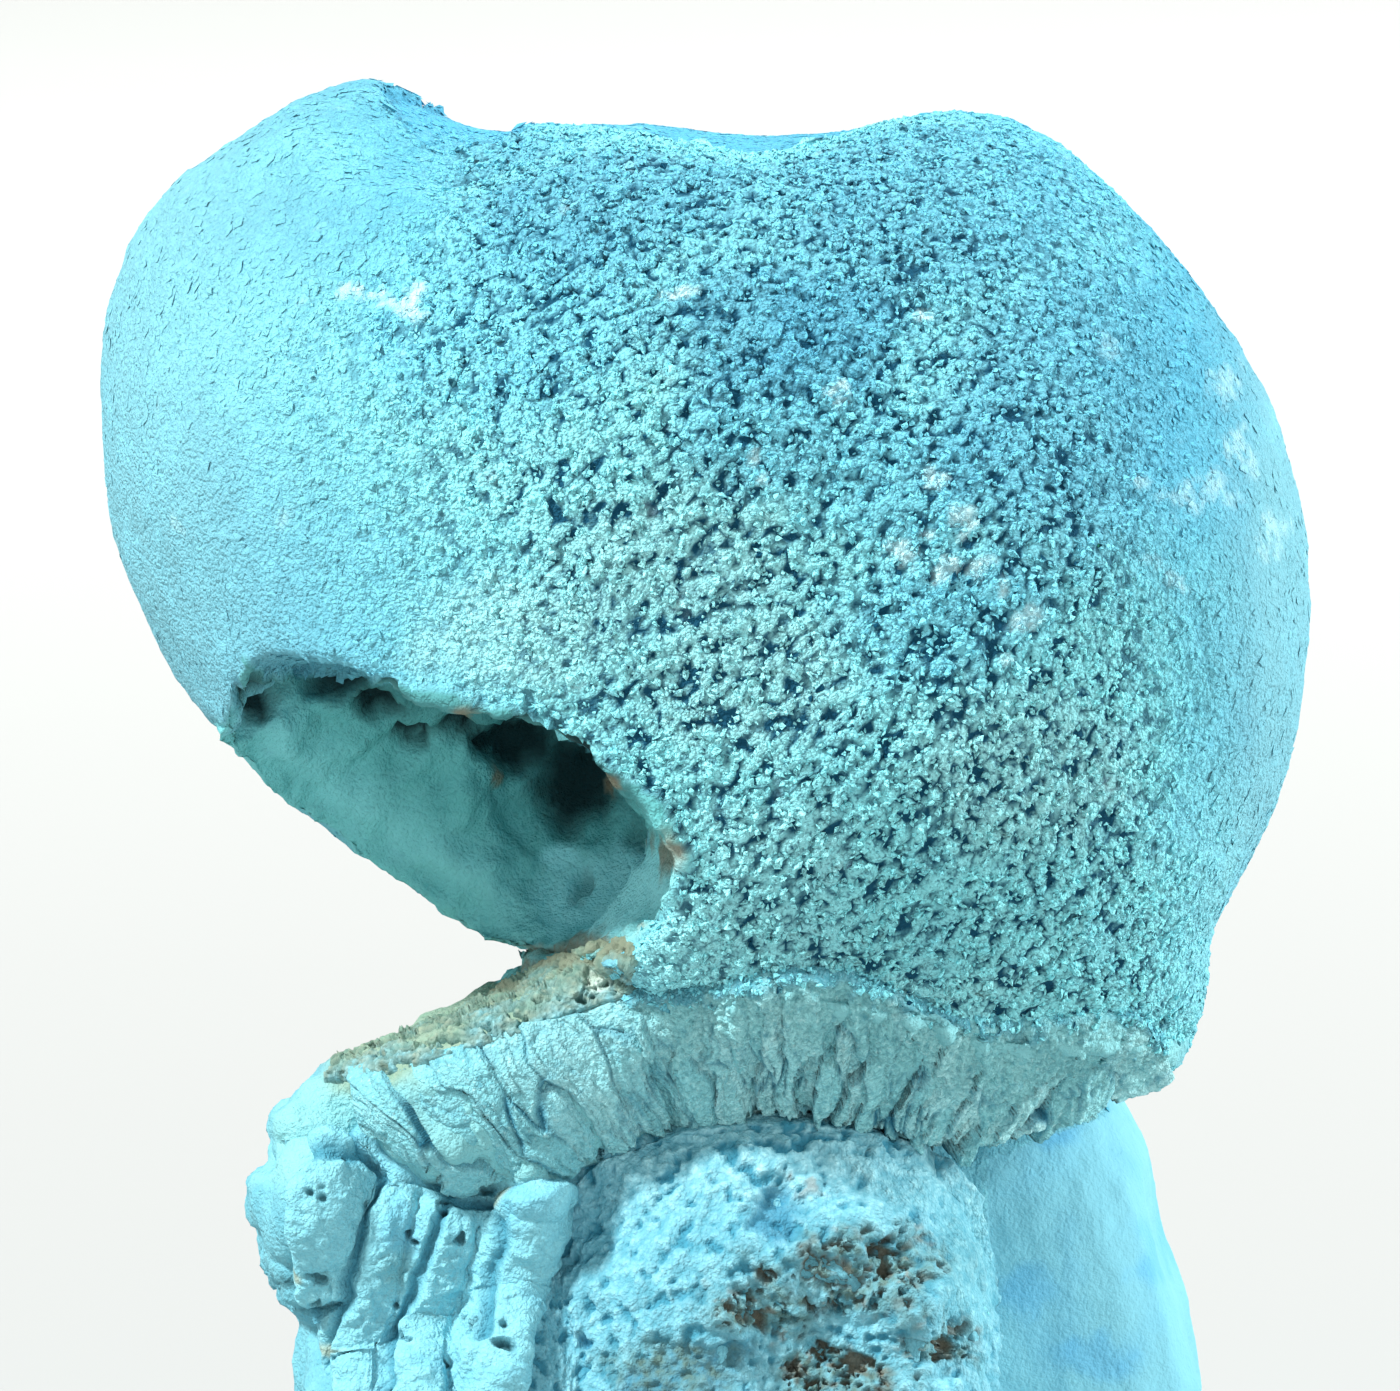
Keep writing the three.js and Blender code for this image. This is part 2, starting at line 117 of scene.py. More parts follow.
def mixed(cell, seed):
    """One number from 0 to 1 for each whole-number cell: its three places times large odd numbers,
    added, then shifted and multiplied three times."""
    x, y, z = (cell[..., i].astype(np.int64).astype(np.uint32) for i in range(3))
    h = x * np.uint32(0x8DA6B343) + y * np.uint32(0xD8163841) + z * np.uint32(0xCB1AB31F)
    h = h + np.uint32((seed * 0x9E3779B1) & 0xFFFFFFFF)
    for shift, factor in ((15, 0x2C1B3C6D), (12, 0x297A2D39), (15, 0x85EBCA6B)):
        h = (h ^ (h >> np.uint32(shift))) * np.uint32(factor)
    return (h ^ (h >> np.uint32(15))) / 2.0**32


def noise(p, size, seed):
    """Smooth noise from about -1 to 1: each corner of a grid of cells has a random slope, and a point
    takes the eight slopes round it, blended by the ease 6t^5 - 15t^4 + 10t^3."""
    q = p / size
    cell = np.floor(q)
    f = q - cell
    ease = f * f * f * (f * (f * 6 - 15) + 10)
    total = np.zeros(len(p))
    for corner in np.ndindex(2, 2, 2):
        c = np.array(corner)
        slope = np.stack([mixed(cell + c, seed + 101 * k) * 2 - 1 for k in range(3)], -1)
        weight = np.prod(np.where(c, ease, 1 - ease), -1)
        total += weight * np.sum(slope * (f - c), -1)
    return total * NOISE_GAIN


def layered(p, size, seed, layers=3):
    """Noise of several sizes, each half as large and half as strong as the one before."""
    return sum(noise(p, size / 2**i, seed + 7 * i) / 2**i for i in range(layers))


def drift(p, size, seeds, layers=3):
    """Layered noises side by side, one for each seed: a shift in as many directions."""
    return np.stack([layered(p, size, seed, layers) for seed in seeds], -1)


def grained(p, size, seed):
    """One random point a cell: the distances to the nearest and the next nearest, in cells, and a
    random number of the nearest one's own."""
    q = p / size
    cell = np.floor(q)
    first = np.full(len(p), FAR)
    second = np.full(len(p), FAR)
    own = np.zeros(len(p))
    for corner in np.ndindex(3, 3, 3):
        at = cell + np.array(corner) - 1
        spot = at + np.stack([mixed(at, seed + 31 * k) for k in range(3)], -1)
        away = np.linalg.norm(q - spot, axis=-1)
        nearer = away < first
        second = np.where(nearer, first, np.minimum(second, away))
        own = np.where(nearer, mixed(at, seed + 977), own)
        first = np.where(nearer, away, first)
    return first, second, own


def facets(q, seed):
    """Flat tilted faces on a plane of cells: each cell has a random point, height and two slopes, and a
    place takes those of the nearest one. Gives the height, the distance to the next face's border, in
    cells, and a random number of the face's own."""
    cell = np.floor(q)
    first = np.full(len(q), FAR)
    second = np.full(len(q), FAR)
    height = np.zeros(len(q))
    own = np.zeros(len(q))
    for corner in np.ndindex(3, 3):
        at = np.concatenate([cell + np.array(corner) - 1, np.zeros((len(q), 1))], 1)
        lot = np.stack([mixed(at, seed + 31 * k) for k in range(5)], -1)
        off = q - at[:, :2] - lot[:, :2]
        away = np.linalg.norm(off, axis=-1)
        nearer = away < first
        second = np.where(nearer, first, np.minimum(second, away))
        face = lot[:, 2] - 0.5 + (lot[:, 3] * 2 - 1) * off[:, 0] + (lot[:, 4] - 0.5) * off[:, 1]
        height = np.where(nearer, face, height)
        own = np.where(nearer, lot[:, 4], own)
        first = np.where(nearer, away, first)
    return height, second - first, own


def step(low, high, value):
    """0 below low, 1 above high, and an S between."""
    t = np.clip((value - low) / (high - low), 0, 1)
    return t * t * (3 - 2 * t)


# ---------------------------------------------------------------- places on the sight plane

def sighted(p):
    """Where a point is seen on the upright plane through the aim: across and up, in millimetres."""
    rel = p - VIEW_AIM
    scale = VIEW_DISTANCE / (VIEW_DISTANCE - rel @ VIEW_BACK)
    return np.stack([p[:, 0] * scale, (rel @ VIEW_UP) * scale], -1)


def stood(at, depth):
    """The place that is seen at a point of the sight plane and lies a distance before it."""
    scale = (VIEW_DISTANCE - depth) / VIEW_DISTANCE
    return VIEW_AIM + np.stack([at[:, 0] * scale, np.zeros(len(at)), np.zeros(len(at))], -1) + (
        np.outer(at[:, 1] * scale, VIEW_UP) + np.outer(depth, VIEW_BACK)
    )


def spots(at, places):
    """1 in the middle of each place (across, up, half width, half height) and 0 past its edge."""
    total = np.zeros(len(at))
    for across, up, wide, high in places:
        away = np.hypot((at[:, 0] - across) / wide, (at[:, 1] - up) / high)
        total = np.maximum(total, 1 - step(0.35, 1.0, away))
    return total


def inside(at, outline):
    """1 within a closed outline and 0 outside: a place is inside when a line to its right crosses the
    outline an odd number of times."""
    edge = np.array(outline)
    crossed = np.zeros(len(at), int)
    for (x0, y0), (x1, y1) in zip(edge, np.roll(edge, -1, 0)):
        between = (at[:, 1] > y0) != (at[:, 1] > y1)
        cut = x0 + (at[:, 1] - y0) * (x1 - x0) / (y1 - y0 + 1e-12)
        crossed += between & (at[:, 0] < cut)
    return (crossed % 2).astype(float)


def away_from(at, line):
    """The distance of each place from a line through points."""
    least = np.full(len(at), FAR)
    for a, b in zip(np.array(line[:-1]), np.array(line[1:])):
        run = b - a
        share = np.clip((at - a) @ run / (run @ run), 0, 1)
        least = np.minimum(least, np.linalg.norm(at - a - share[:, None] * run, axis=1))
    return least


def back(at, line, half):
    """A round back over a line through points: one less the square of the share of its half width."""
    return np.clip(1 - (away_from(at, line) / half) ** 2, 0, 1)


def line_at(line, across):
    """How far up a line through points lies at each place across."""
    x, up = np.array(line).T
    return np.interp(across, x, up)


def along(points, share):
    """Places on a line through the points, at shares of its length."""
    points = np.array(points, float)
    run = np.concatenate([[0], np.cumsum(np.linalg.norm(np.diff(points, axis=0), axis=1))])
    return np.stack([np.interp(share * run[-1], run, points[:, k]) for k in (0, 1)], -1)


def fanned(at):
    """Places as fibres see them: across, the turn about the growth centre, in millimetres at the rim,
    and along, the distance from it."""
    rel = at - GROWTH_CENTRE
    bend = noise(np.column_stack([at / BEND_SIZE, np.full(len(at), BEND_SLICE)]), 1.0, BEND_SEED) * BEND
    turn = np.arctan2(rel[:, 0], rel[:, 1]) + bend
    return np.stack([turn * RIM_REACH, np.hypot(rel[:, 0], rel[:, 1])], -1)


# ---------------------------------------------------------------- meshes

def corner_normals(p, quads):
    """Each vertex's direction: the sum of its faces' diagonals' cross products, made one long."""
    face = np.cross(p[quads[:, 2]] - p[quads[:, 0]], p[quads[:, 3]] - p[quads[:, 1]])
    n = np.zeros_like(p)
    for axis in range(3):
        for k in range(4):
            n[:, axis] += np.bincount(quads[:, k], face[:, axis], len(p))
    return n / np.maximum(np.linalg.norm(n, axis=1, keepdims=True), 1e-12)


def smoothed(p, quads, rounds, strength=0.6):
    """Moves each vertex towards the mean of its neighbours along the faces' edges, several times."""
    a = quads.ravel()
    b = np.roll(quads, -1, 1).ravel()
    count = np.bincount(a, minlength=len(p)) + np.bincount(b, minlength=len(p))
    for _ in range(rounds):
        mean = np.stack(
            [np.bincount(a, p[b, k], len(p)) + np.bincount(b, p[a, k], len(p)) for k in range(3)], -1
        ) / count[:, None]
        p = p + (mean - p) * strength
    return p


def mesh_of(name, p, faces, fields=None):
    """A mesh from vertices in millimetres and arrays of faces, with a number per vertex for each field."""
    groups = faces if isinstance(faces, list) else [faces]
    corners = np.concatenate([g.ravel() for g in groups]).astype(np.int32)
    sides = np.concatenate([np.full(len(g), g.shape[1]) for g in groups])
    starts = np.concatenate([[0], np.cumsum(sides)[:-1]]).astype(np.int32)
    mesh = bpy.data.meshes.new(name)
    mesh.vertices.add(len(p))
    mesh.vertices.foreach_set("co", (p * MM).astype(np.float32).ravel())
    mesh.loops.add(len(corners))
    mesh.loops.foreach_set("vertex_index", corners)
    mesh.polygons.add(len(starts))
    mesh.polygons.foreach_set("loop_start", starts)
    mesh.update(calc_edges=True)
    mesh.polygons.foreach_set("use_smooth", np.ones(len(starts), bool))
    for field, values in (fields or {}).items():
        layer = mesh.attributes.new(field, "FLOAT", "POINT")
        layer.data.foreach_set("value", values.astype(np.float32))
    return mesh


def added(name, data):
    """An object in the scene for a mesh, a lamp's or a camera's data."""
    made = bpy.data.objects.new(name, data)
    bpy.context.scene.collection.objects.link(made)
    return made


def piece(name, mesh, finish):
    """A shown piece of the specimen: it rides on the stone and stands for its solid."""
    made = added(name, mesh)
    made.data.materials.append(finish)
    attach(made, "root")
    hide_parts(NODE)


def settled(helper):
    """The mesh of a helper with its modifiers worked out; the helper is removed."""
    graph = bpy.context.evaluated_depsgraph_get()
    mesh = bpy.data.meshes.new_from_object(helper.evaluated_get(graph))
    bpy.data.objects.remove(helper)
    return mesh


def values_of(items, what, width, kind=np.float32):
    """The numbers that a mesh holds for its items, in rows of a width."""
    values = np.empty(len(items) * width, kind)
    items.foreach_get(what, values)
    return values.reshape(-1, width)


def solid_copy():
    """A closed copy of the specimen's solid, its loose triangles merged."""
    mesh = bpy.data.meshes.new("solid")
    shape = bmesh.new()
    shape.from_mesh(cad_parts[NODE].data)
    bmesh.ops.remove_doubles(shape, verts=shape.verts, dist=1e-6)
    shape.to_mesh(mesh)
    shape.free()
    for layer in list(mesh.uv_layers):
        mesh.uv_layers.remove(layer)
    mesh.materials.clear()
    return mesh


# ---------------------------------------------------------------- where each look lies

# Closed outlines and open lines, across and up.
MOUTH_OUTLINE = [
    (-11.43, 1.01), (-11.1, 0.59), (-9.25, 0.49), (-7.5, 0.29), (-6.25, 0.04), (-4.5, -0.46),
    (-3.12, -1.24), (-1.95, -2.06), (-0.9, -2.76), (-0.2, -4.11), (-0.6, -4.99), (-1.38, -5.86),
    (-2.5, -6.56), (-5, -7.24), (-5.75, -5.24), (-6.5, -4.71), (-7.38, -4.06), (-8.45, -3.41),
    (-9.55, -2.61), (-10.5, -1.74), (-11.2, -0.81), (-11.5, 0.14),
]
BRIM_POINTS = 12  # of the outline, from its left end along its top
LIP_LINE = [
    (-11.6, -1.51), (-10.95, -2.36), (-9.55, -3.61), (-7.95, -4.74), (-6.5, -5.46), (-5.38, -6.31),
]
ROOF_LINE = [
    (-11.5, 0.69), (-10, 0.59), (-7.5, 0.14), (-6.25, -0.11), (-4.5, -0.91), (-3.12, -1.66),
    (-1.95, -2.36),
]
CORNER = [
    (-1.12, -1.86), (0, -3.61), (-0.15, -4.41), (-0.7, -5.74), (-1.3, -6.16), (-1.5, -7.71), (3, -7.36),
    (3, -1.86),
]
# The back piece seen through the dent in the top: its darker azure is painted shade.
RIDGE = [
    (-7.88, 15.44), (-7, 15.09), (-6.25, 14.84), (-5.5, 14.74), (-4.62, 14.54), (-4.4, 14.29),
    (-5.5, 14.01), (-6.33, 13.79), (-7.12, 14.14), (-7.6, 14.74),
]
LOBE_OUTLINE = [(7.1, -11.6), (10.5, -10.3), (13.0, -9.0), (16, -14), (16, -27), (7.1, -27)]

# Spots: across, up, half width, half height.
# Painted light: the mouth's lower wall, and the lip where the wall curves round to the edge, are painted
# lighter.
MOUTH_GLOW = [(-2.6, -5.2, 2.4, 1.5), (-1.4, -4.6, 1.5, 1.3), (-3.5, -4.11, 0.9, 0.6)]
# Painted shade: the throat, the roof's pits and two dimples are painted dark.
THROAT = [(-3.2, -2.2, 1.4, 1.6), (-4.4, -1.2, 1.4, 0.9)]
DIMPLES = [(-2.9, -4.9, 0.35, 0.55), (-1.5, -3.6, 0.4, 0.7)]
ROOF_PITS = [
    (-10.0, 1.0, 0.7, 0.5), (-11.0, 0.0, 0.7, 0.8), (-9.1, 0.3, 1.0, 0.55), (-8.0, -0.2, 0.8, 0.5),
    (-5.9, -0.75, 0.9, 0.55), (-7.2, -0.9, 0.6, 0.35), (-5.3, -1.3, 0.5, 0.6),
]
MOUTH_RUST = [
    (-5.9, -0.2, 0.4, 0.25), (-0.75, -3.9, 0.4, 0.9), (-5.2, -2.0, 0.4, 0.3), (-2.2, -2.2, 0.3, 0.3),
]
CREST_RUST = [
    (-3.5, -6.36, 1.38, 0.3), (-2.5, -6.11, 1, 0.3), (-4.5, -6.76, 0.75, 0.25),
    (-1.12, -5.86, 0.62, 0.3),
]
# The stem's pits, sunk and painted dark as shade.
STEM_PITS = [
    (-10.28, -14.69, 0.4, 0.3), (-9.5, -15.26, 0.75, 0.15), (-2.4, -11.54, 0.28, 0.12),
    (-4.85, -16.36, 0.25, 0.2), (-2.25, -15.36, 0.23, 0.2),
]
FROST = [
    (-8.3, 10.2, 1.1, 0.4), (-7.5, 9.89, 1, 0.5), (-0.5, 10.19, 0.55, 0.3), (3.45, 7.64, 0.65, 0.4),
    (5.75, 9.59, 0.4, 0.23), (5.8, 5.64, 0.6, 0.45), (5.12, 3.76, 0.7, 0.45), (6.12, 3.24, 0.65, 0.35),
    (7.12, 3.14, 0.65, 0.55), (6.5, 4.39, 0.65, 0.4), (8.25, 2.01, 0.65, 0.55), (7.5, 0.89, 0.35, 0.35),
    (13.3, 7.9, 0.55, 0.85), (13.6, 6.2, 0.65, 0.95), (12.4, 5.1, 1.4, 0.75), (14.45, 4.0, 0.45, 0.8),
    (11.05, 5.4, 0.4, 0.4), (12.0, 2.9, 0.35, 0.45), (1.5, 5.76, 0.25, 0.65),
]
# The velvet is deeper blue in the first two, then greyer, lighter and without clumps in these.
AZURE = [
    (-2.0, 13.8, 7.5, 4.6), (6.0, 13.0, 7.5, 5.4), (9.6, 7.5, 5.2, 6.5), (2.0, 9.5, 5.0, 3.0),
    (9.0, -10.99, 0.9, 0.5), (11.25, -13.99, 0.8, 1.2), (8.25, -14.86, 1.0, 0.8), (9.8, -16.6, 1.3, 0.7),
]
DEEP = [
    (1.9, 6.7, 3.2, 2.6), (3.5, 8.5, 3.0, 3.0), (5.0, 5.5, 3.5, 3.0), (6.0, 2.0, 4.0, 2.5),
    (-5.0, 9.5, 5, 4),
]
GREY = [(-0.6, 3.3, 4.6, 2.8), (-4.5, 1.5, 4.0, 2.0), (1.0, 0.5, 4.0, 3.0), (8.0, -2.0, 4.0, 3.0)]
# Painted light: the velvet's lower middle, which lies in the ball's shade, is made lighter and has fewer
# dark gaps.
PAINTED_LIGHT_SPOTS = [(0.8, -6.4, 4.4, 2.2), (6.0, -7.6, 3.4, 0.8), (2.0, -4.0, 3.0, 2.0)]
CALM = [(-10.5, 13.5, 6.5, 5.5)]
# Brown and green specks on the velvet.
SPECKS = [(-3.62, 4.5, 0.1, 0.1), (4.17, 5.7, 0.14, 0.1), (5.0, 7.62, 0.1, 0.1), (5.67, 6.83, 0.08, 0.08)]
MOSS = [
    (8.62, 10.57, 0.22, 0.12), (10.75, 2.95, 0.14, 0.14), (10.0, 3.75, 0.12, 0.08),
    (-1.25, 7.57, 0.08, 0.08),
]


def looks(p, n):
    """The fields that the finishes read, each from 0 to 1, from place and outward direction."""
    at = sighted(p)
    toward = n @ VIEW_BACK
    out = p - BALL_CENTRE
    reach = np.linalg.norm(out, axis=1)
    facing = np.sum(n * out, 1) / np.maximum(reach, 1e-9)
    front = step(-0.1, 0.35, toward)
    edge = line_at(CRUST_EDGE, at[:, 0]) + noise(p, 0.5, 25) * 0.12
    wander = layered(p, 1.4, 11) * 0.4
    above = step(-0.15, 0.15, at[:, 1] - edge)
    behind = step(-0.3, 0.1, -toward)
    low = step(14.0, 16.5, p[:, 2])
    velvet = step(0.0, 0.3, facing) * step(9.0, 10.5, reach) * np.maximum(above, behind * low)
    velvet = np.maximum(velvet, inside(at, CORNER) * front * above)
    brim = (1 - step(0.7, 1.1, away_from(at, MOUTH_OUTLINE[:BRIM_POINTS]))) * step(-0.6, -0.3, toward)
    velvet = np.maximum(velvet, brim * step(17.0, 18.0, p[:, 2]) * step(-13, -12, at[:, 1]))
    lip = 1 - step(0.5, 1.5, away_from(at, LIP_LINE) + noise(p, 0.8, 26) * 0.15)
    lip = lip * step(-13, -12, p[:, 1]) * step(17.5, 18.5, p[:, 2]) * step(-0.25, 0.0, toward)
    ragged = at + drift(p, 0.7, (27, 28), 1) * 0.12
    mouth = inside(ragged, MOUTH_OUTLINE) * step(-0.6, -0.2, toward)
    mouth = np.maximum(mouth, lip * (at[:, 1] < 2.5))
    neck = (1 - step(17.2, 18.0, p[:, 2])) * (1 - step(-2.5, -1.0, p[:, 0]))
    velvet = velvet * (1 - mouth) * (1 - neck)
    lobe = step(0.5, 2.5, p[:, 1]) * (1 - low) * step(-0.1, 0.3, n[:, 1] + 0.5 * n[:, 0])
    lobe = np.maximum(lobe, inside(at, LOBE_OUTLINE) * step(-8.0, -5.5, p[:, 1]))
    lobe = lobe * step(0.0, 0.5, p[:, 2])
    velvet = np.maximum(velvet, lobe)
    ridge = inside(at + noise(p, 0.6, 33)[:, None] * 0.08, RIDGE) * (p[:, 2] > 30)
    jittered = at + drift(p, 1.1, (21, 22)) * 0.45
    frost = spots(jittered, FROST) * step(-0.6, 0.2, layered(p, 0.45, 29, 2)) * front * velvet
    soft = step(9.5, 12.5, at[:, 0])
    frost = step(0.25 - 0.3 * soft, 0.5 + 0.9 * soft, frost) * (1 - 0.3 * soft)
    frost = np.maximum(frost, step(0.75, 1.0, layered(p, 1.2, 31)) * 0.3 * velvet)
    # the ridge's darker azure is painted shade of the back piece
    azure_and_ridge_shade = np.maximum(spots(jittered, AZURE) * front * velvet, ridge)
    deep = np.clip(spots(jittered, DEEP) * front + wander, 0, 1) * velvet
    grey = np.clip(spots(jittered, GREY) * front + wander * 0.5, 0, 1) * velvet
    moved = at + drift(p, 0.8, (23, 24)) * 0.25
    # painted shade: the throat, the roof's pits, the dimples and a strip along the roof are painted dark
    dark = np.maximum(spots(moved, THROAT), spots(moved, ROOF_PITS)) * mouth
    dark = np.maximum(dark, spots(moved, DIMPLES) * 0.45 * mouth)
    roof = (1 - step(0.1, 1.1, away_from(moved, ROOF_LINE))) * mouth
    rust = spots(moved, MOUTH_RUST) * step(-7.0, -5.0, -np.abs(at[:, 0] + 4))
    rust = np.maximum(rust * np.clip(mouth + 0.3, 0, 1), spots(moved, CREST_RUST) * (1 - velvet))
    crest = line_at(JAW_FOOT, at[:, 0])
    jaw = step(-0.5, 0.1, at[:, 1] - crest + noise(p, 0.6, 30) * 0.25) * step(-9.8, -8.6, at[:, 0])
    jaw = jaw * (1 - step(-1.2, -0.4, at[:, 0])) * (1 - mouth) * (1 - velvet) * (p[:, 2] < 19)
    band = 1 - step(0.0, 0.5, at[:, 1] - edge)
    band = band * step(-12.4, -12.0, at[:, 1]) * front * (p[:, 1] < -2)
    # painted light along the lip and on the mouth's lower wall
    glow = 0.5 * (1 - step(0.6, 2.8, away_from(at, LIP_LINE))) * (p[:, 2] > 14)
    glow = np.maximum(glow, spots(moved, MOUTH_GLOW))
    # pale: paler on the left and at the lower right edge; partly the fine velvet's own paler colour, partly
    # painted light on those brighter-lit sides
    right = np.clip((at[:, 0] - np.interp(at[:, 1], [-6, -1], [10.8, 12.3])) / 2.0, 0, 1)
    pale = np.maximum(1 - step(-15.0, -4.5, at[:, 0]), right) * (1 - ridge)
    pits = spots(moved, STEM_PITS) * front
    # painted light on the velvet's lower middle, which lies in shade
    painted_light = spots(jittered, PAINTED_LIGHT_SPOTS) * front
    return dict(
        velvet=velvet, frost=frost, deep=deep, grey=grey, azure_and_ridge_shade=azure_and_ridge_shade, pale=pale, painted_light=painted_light, lobe=lobe,
        mouth=mouth, dark=dark, roof=roof, lip=lip, glow=glow, rust=rust, jaw=jaw, band=band,
        ridge=ridge, pits=pits,
    )


def clumped(p):
    """How high the velvet stands, from 0 in the gaps to 1 on the clumps: heads a quarter of a millimetre
    apart with narrow valleys, small crumbs on them, and deeper holes where a wider noise is high."""
    moved = p + drift(p, 0.5, (51, 52, 53), 2) * 0.14
    first, second, own = grained(moved, 0.25, 55)
    head = step(0.0, 0.24, second - first) * (0.75 + 0.25 * own)
    first, second, own = grained(moved, 0.125, 56)
    crumb = step(-0.05, 0.3, second - first) * (0.6 + 0.4 * own)
    hole = step(0.3, 0.62, layered(p, 0.36, 57, 2))
    return np.clip((0.25 + 0.75 * head) * (0.35 + 0.65 * crumb) * (1 - hole), 0, 1)


def coarse(p):
    """How strongly the clumps show: coarse on a slanting stripe from the top through the middle to the
    lower right, fine towards the left, the right edge and behind."""
    at = sighted(p)
    off = at[:, 0] - (2.3 - 0.46 * (at[:, 1] - 2.4))
    stripe = np.exp(-np.abs(off / np.where(off > 0, 14.0, 9.2)) ** 2.5)
    ahead = step(-4.0, 4.0, -p[:, 1])
    calm = (1 - 0.9 * step(9.2, 14.5, at[:, 0])) * (1 - 0.8 * spots(at, CALM))
    wander = 0.12 * layered(p, 3.0, 54, 2) * (0.2 + 0.8 * stripe)
    return np.clip((0.02 + stripe * calm + wander) * ahead, 0.02, 1)


# ---------------------------------------------------------------- body

# Each fold: its middle line, its half width and how far it stands out.
FOLDS = [
    ([(-9.3, -11.6), (-9.65, -12.99), (-9.6, -14.4)], 1.15, 0.75),
    ([(-7.7, -12.3), (-8.1, -13.61), (-8.35, -15.36), (-8.5, -17.39), (-8.55, -18.61)], 0.72, 0.7),
    ([(-6.3, -13.0), (-6.6, -14.11), (-6.9, -15.36), (-7, -17.39), (-7, -18.61)], 0.8, 0.7),
    ([(-4.1, -12.36), (-4.4, -13.86), (-4.8, -15.36), (-5.2, -17.39), (-5.3, -18.61)], 0.8, 0.75),
    ([(-9.9, -10.81), (-9.45, -10.96)], 0.68, 0.6),
    ([(-10.7, -12.26), (-10.7, -12.91)], 0.42, 0.5),
    ([(-8.75, -9.61), (-7.5, -9.71)], 0.8, 0.2),
    ([(-9.12, -16.24), (-9.2, -17.61)], 0.65, 0.4),
    ([(-8.2, -10.3), (-7.2, -11.0), (-6.2, -11.7)], 0.75, 0.25),
]


def split_block():
    """A block under the line between crust and stem: the line, run from front to back as it falls by a
    seventh, is its top, and its foot is far below."""
    x, z = SPLIT_LINE.T
    rows = []
    for reach in SPLIT_REACH:
        y = np.full_like(x, SPLIT_FRONT + reach)
        rows.append(np.stack([x, y, z - reach * SPLIT_DROP], -1))
        rows.append(np.stack([x, y, np.full_like(x, SPLIT_FOOT)], -1))
    n = len(x)
    i = np.arange(n - 1)
    strips = [(n, 0), (2 * n, 3 * n), (0, 2 * n), (3 * n, n)]
    quads = [np.stack([i + a, i + a + 1, i + b + 1, i + b], -1) for a, b in strips]
    quads.append(np.array([[0, 2 * n, 3 * n, n], [n - 1, 2 * n - 1, 4 * n - 1, 3 * n - 1]]))
    return mesh_of("split", np.concatenate(rows), np.concatenate(quads))


def cut_and_gridded(name, operation, voxel):
    """The part of the solid over or under the split, as an even net of small quads."""
    helper = added(name, solid_copy())
    block = added(name + "_block", split_block())
    cut = helper.modifiers.new("cut", "BOOLEAN")
    cut.operation = operation
    cut.object = block
    cut.solver = "EXACT"
    net = helper.modifiers.new("net", "REMESH")
    net.mode = "VOXEL"
    net.voxel_size = voxel * MM
    mesh = settled(helper)
    bpy.data.objects.remove(block)
    p = values_of(mesh.vertices, "co", 3).astype(float) / MM
    corners = values_of(mesh.loops, "vertex_index", 1, np.int32)[:, 0]
    starts = values_of(mesh.polygons, "loop_start", 1, np.int32)
    return p, corners[starts + np.arange(4)]


def folded(p, n):
    """How far the stem's folds stand out, with pits sunk between them."""
    at = sighted(p) + drift(p, 1.2, (45, 46), 2) * 0.14
    height = np.max([tall * back(at, line, half) ** 0.6 for line, half, tall in FOLDS], axis=0)
    left = 1 - step(-4.6, -3.2, at[:, 0])
    height = height - 0.3 * left * step(-10.8, -11.6, -at[:, 1]) - 0.45 * spots(at, STEM_PITS)
    return height * step(-0.7, 0.0, n @ VIEW_BACK)


def body_part(name, operation, voxel, rounds, finish):
    """One part of the body: the cut solid's net, eased, then pushed in and out by noise."""
    p, quads = cut_and_gridded(name, operation, voxel)
    p = smoothed(p, quads, rounds)
    n = corner_normals(p, quads)
    if name == "stem":
        p = smoothed(p + n * folded(p, n)[:, None], quads, 1)
        n = corner_normals(p, quads)
    fields = looks(p, n)
    rough = layered(p, 0.9, 41) * 0.10 + layered(p, 0.35, 42, 2) * 0.05
    rough += fields["mouth"] * (1 - 0.8 * fields["glow"]) * (layered(p, 1.1, 43) * 0.3 + 0.1)
    rough -= fields["dark"] * 0.5
    mass = clumped(p)
    lift = VELVET_RISE * (mass - 1) * (0.06 + 0.94 * coarse(p)) - VELVET_SUNK
    lift = np.where(fields["lobe"] > 0.5, -0.03, lift) - 0.25 * fields["ridge"]
    rough -= 0.35 * fields["lip"]
    p = p + n * (rough * (1 - 0.6 * fields["velvet"]) + fields["velvet"] * lift)[:, None]
    n = corner_normals(p, quads)
    fields["coarse"] = coarse(p) * (1 - 0.5 * fields["frost"])
    fields["mass"] = mass
    p[:, 2] = np.maximum(p[:, 2], 0.0)
    piece(name, mesh_of(name, p, quads, fields), finish)
    return p, n, quads, fields


# ---------------------------------------------------------------- sheets laid over the stone

class Ground:
    """How far before the sight plane the stone lies, on a coarse net of places."""

    def __init__(self, depth):
        self.depth = depth

    def eased(self, rounds):
        """A copy whose distances are blurred: each becomes half itself and a quarter of each neighbour."""
        depth = self.depth
        for _ in range(rounds):
            for axis in (0, 1):
                depth = (np.roll(depth, 1, axis) + 2 * depth + np.roll(depth, -1, axis)) / 4
        return Ground(depth)

    def read(self, at):
        """The distance at places on the sight plane, by cubic B-splines through the net."""
        q = (at - GROUND_LOW) / GROUND_CELL
        cell = np.clip(np.floor(q).astype(int), 1, np.array(self.depth.shape) - 3)
        f = q - cell
        inner = (3 * f**3 - 6 * f**2 + 4) / 6
        outer = (-3 * f**3 + 3 * f**2 + 3 * f + 1) / 6
        share = [(1 - f) ** 3 / 6, inner, outer, f**3 / 6]
        return sum(
            share[i][:, 0] * share[j][:, 1] * self.depth[cell[:, 0] + i - 1, cell[:, 1] + j - 1]
            for i in range(4) for j in range(4)
        )


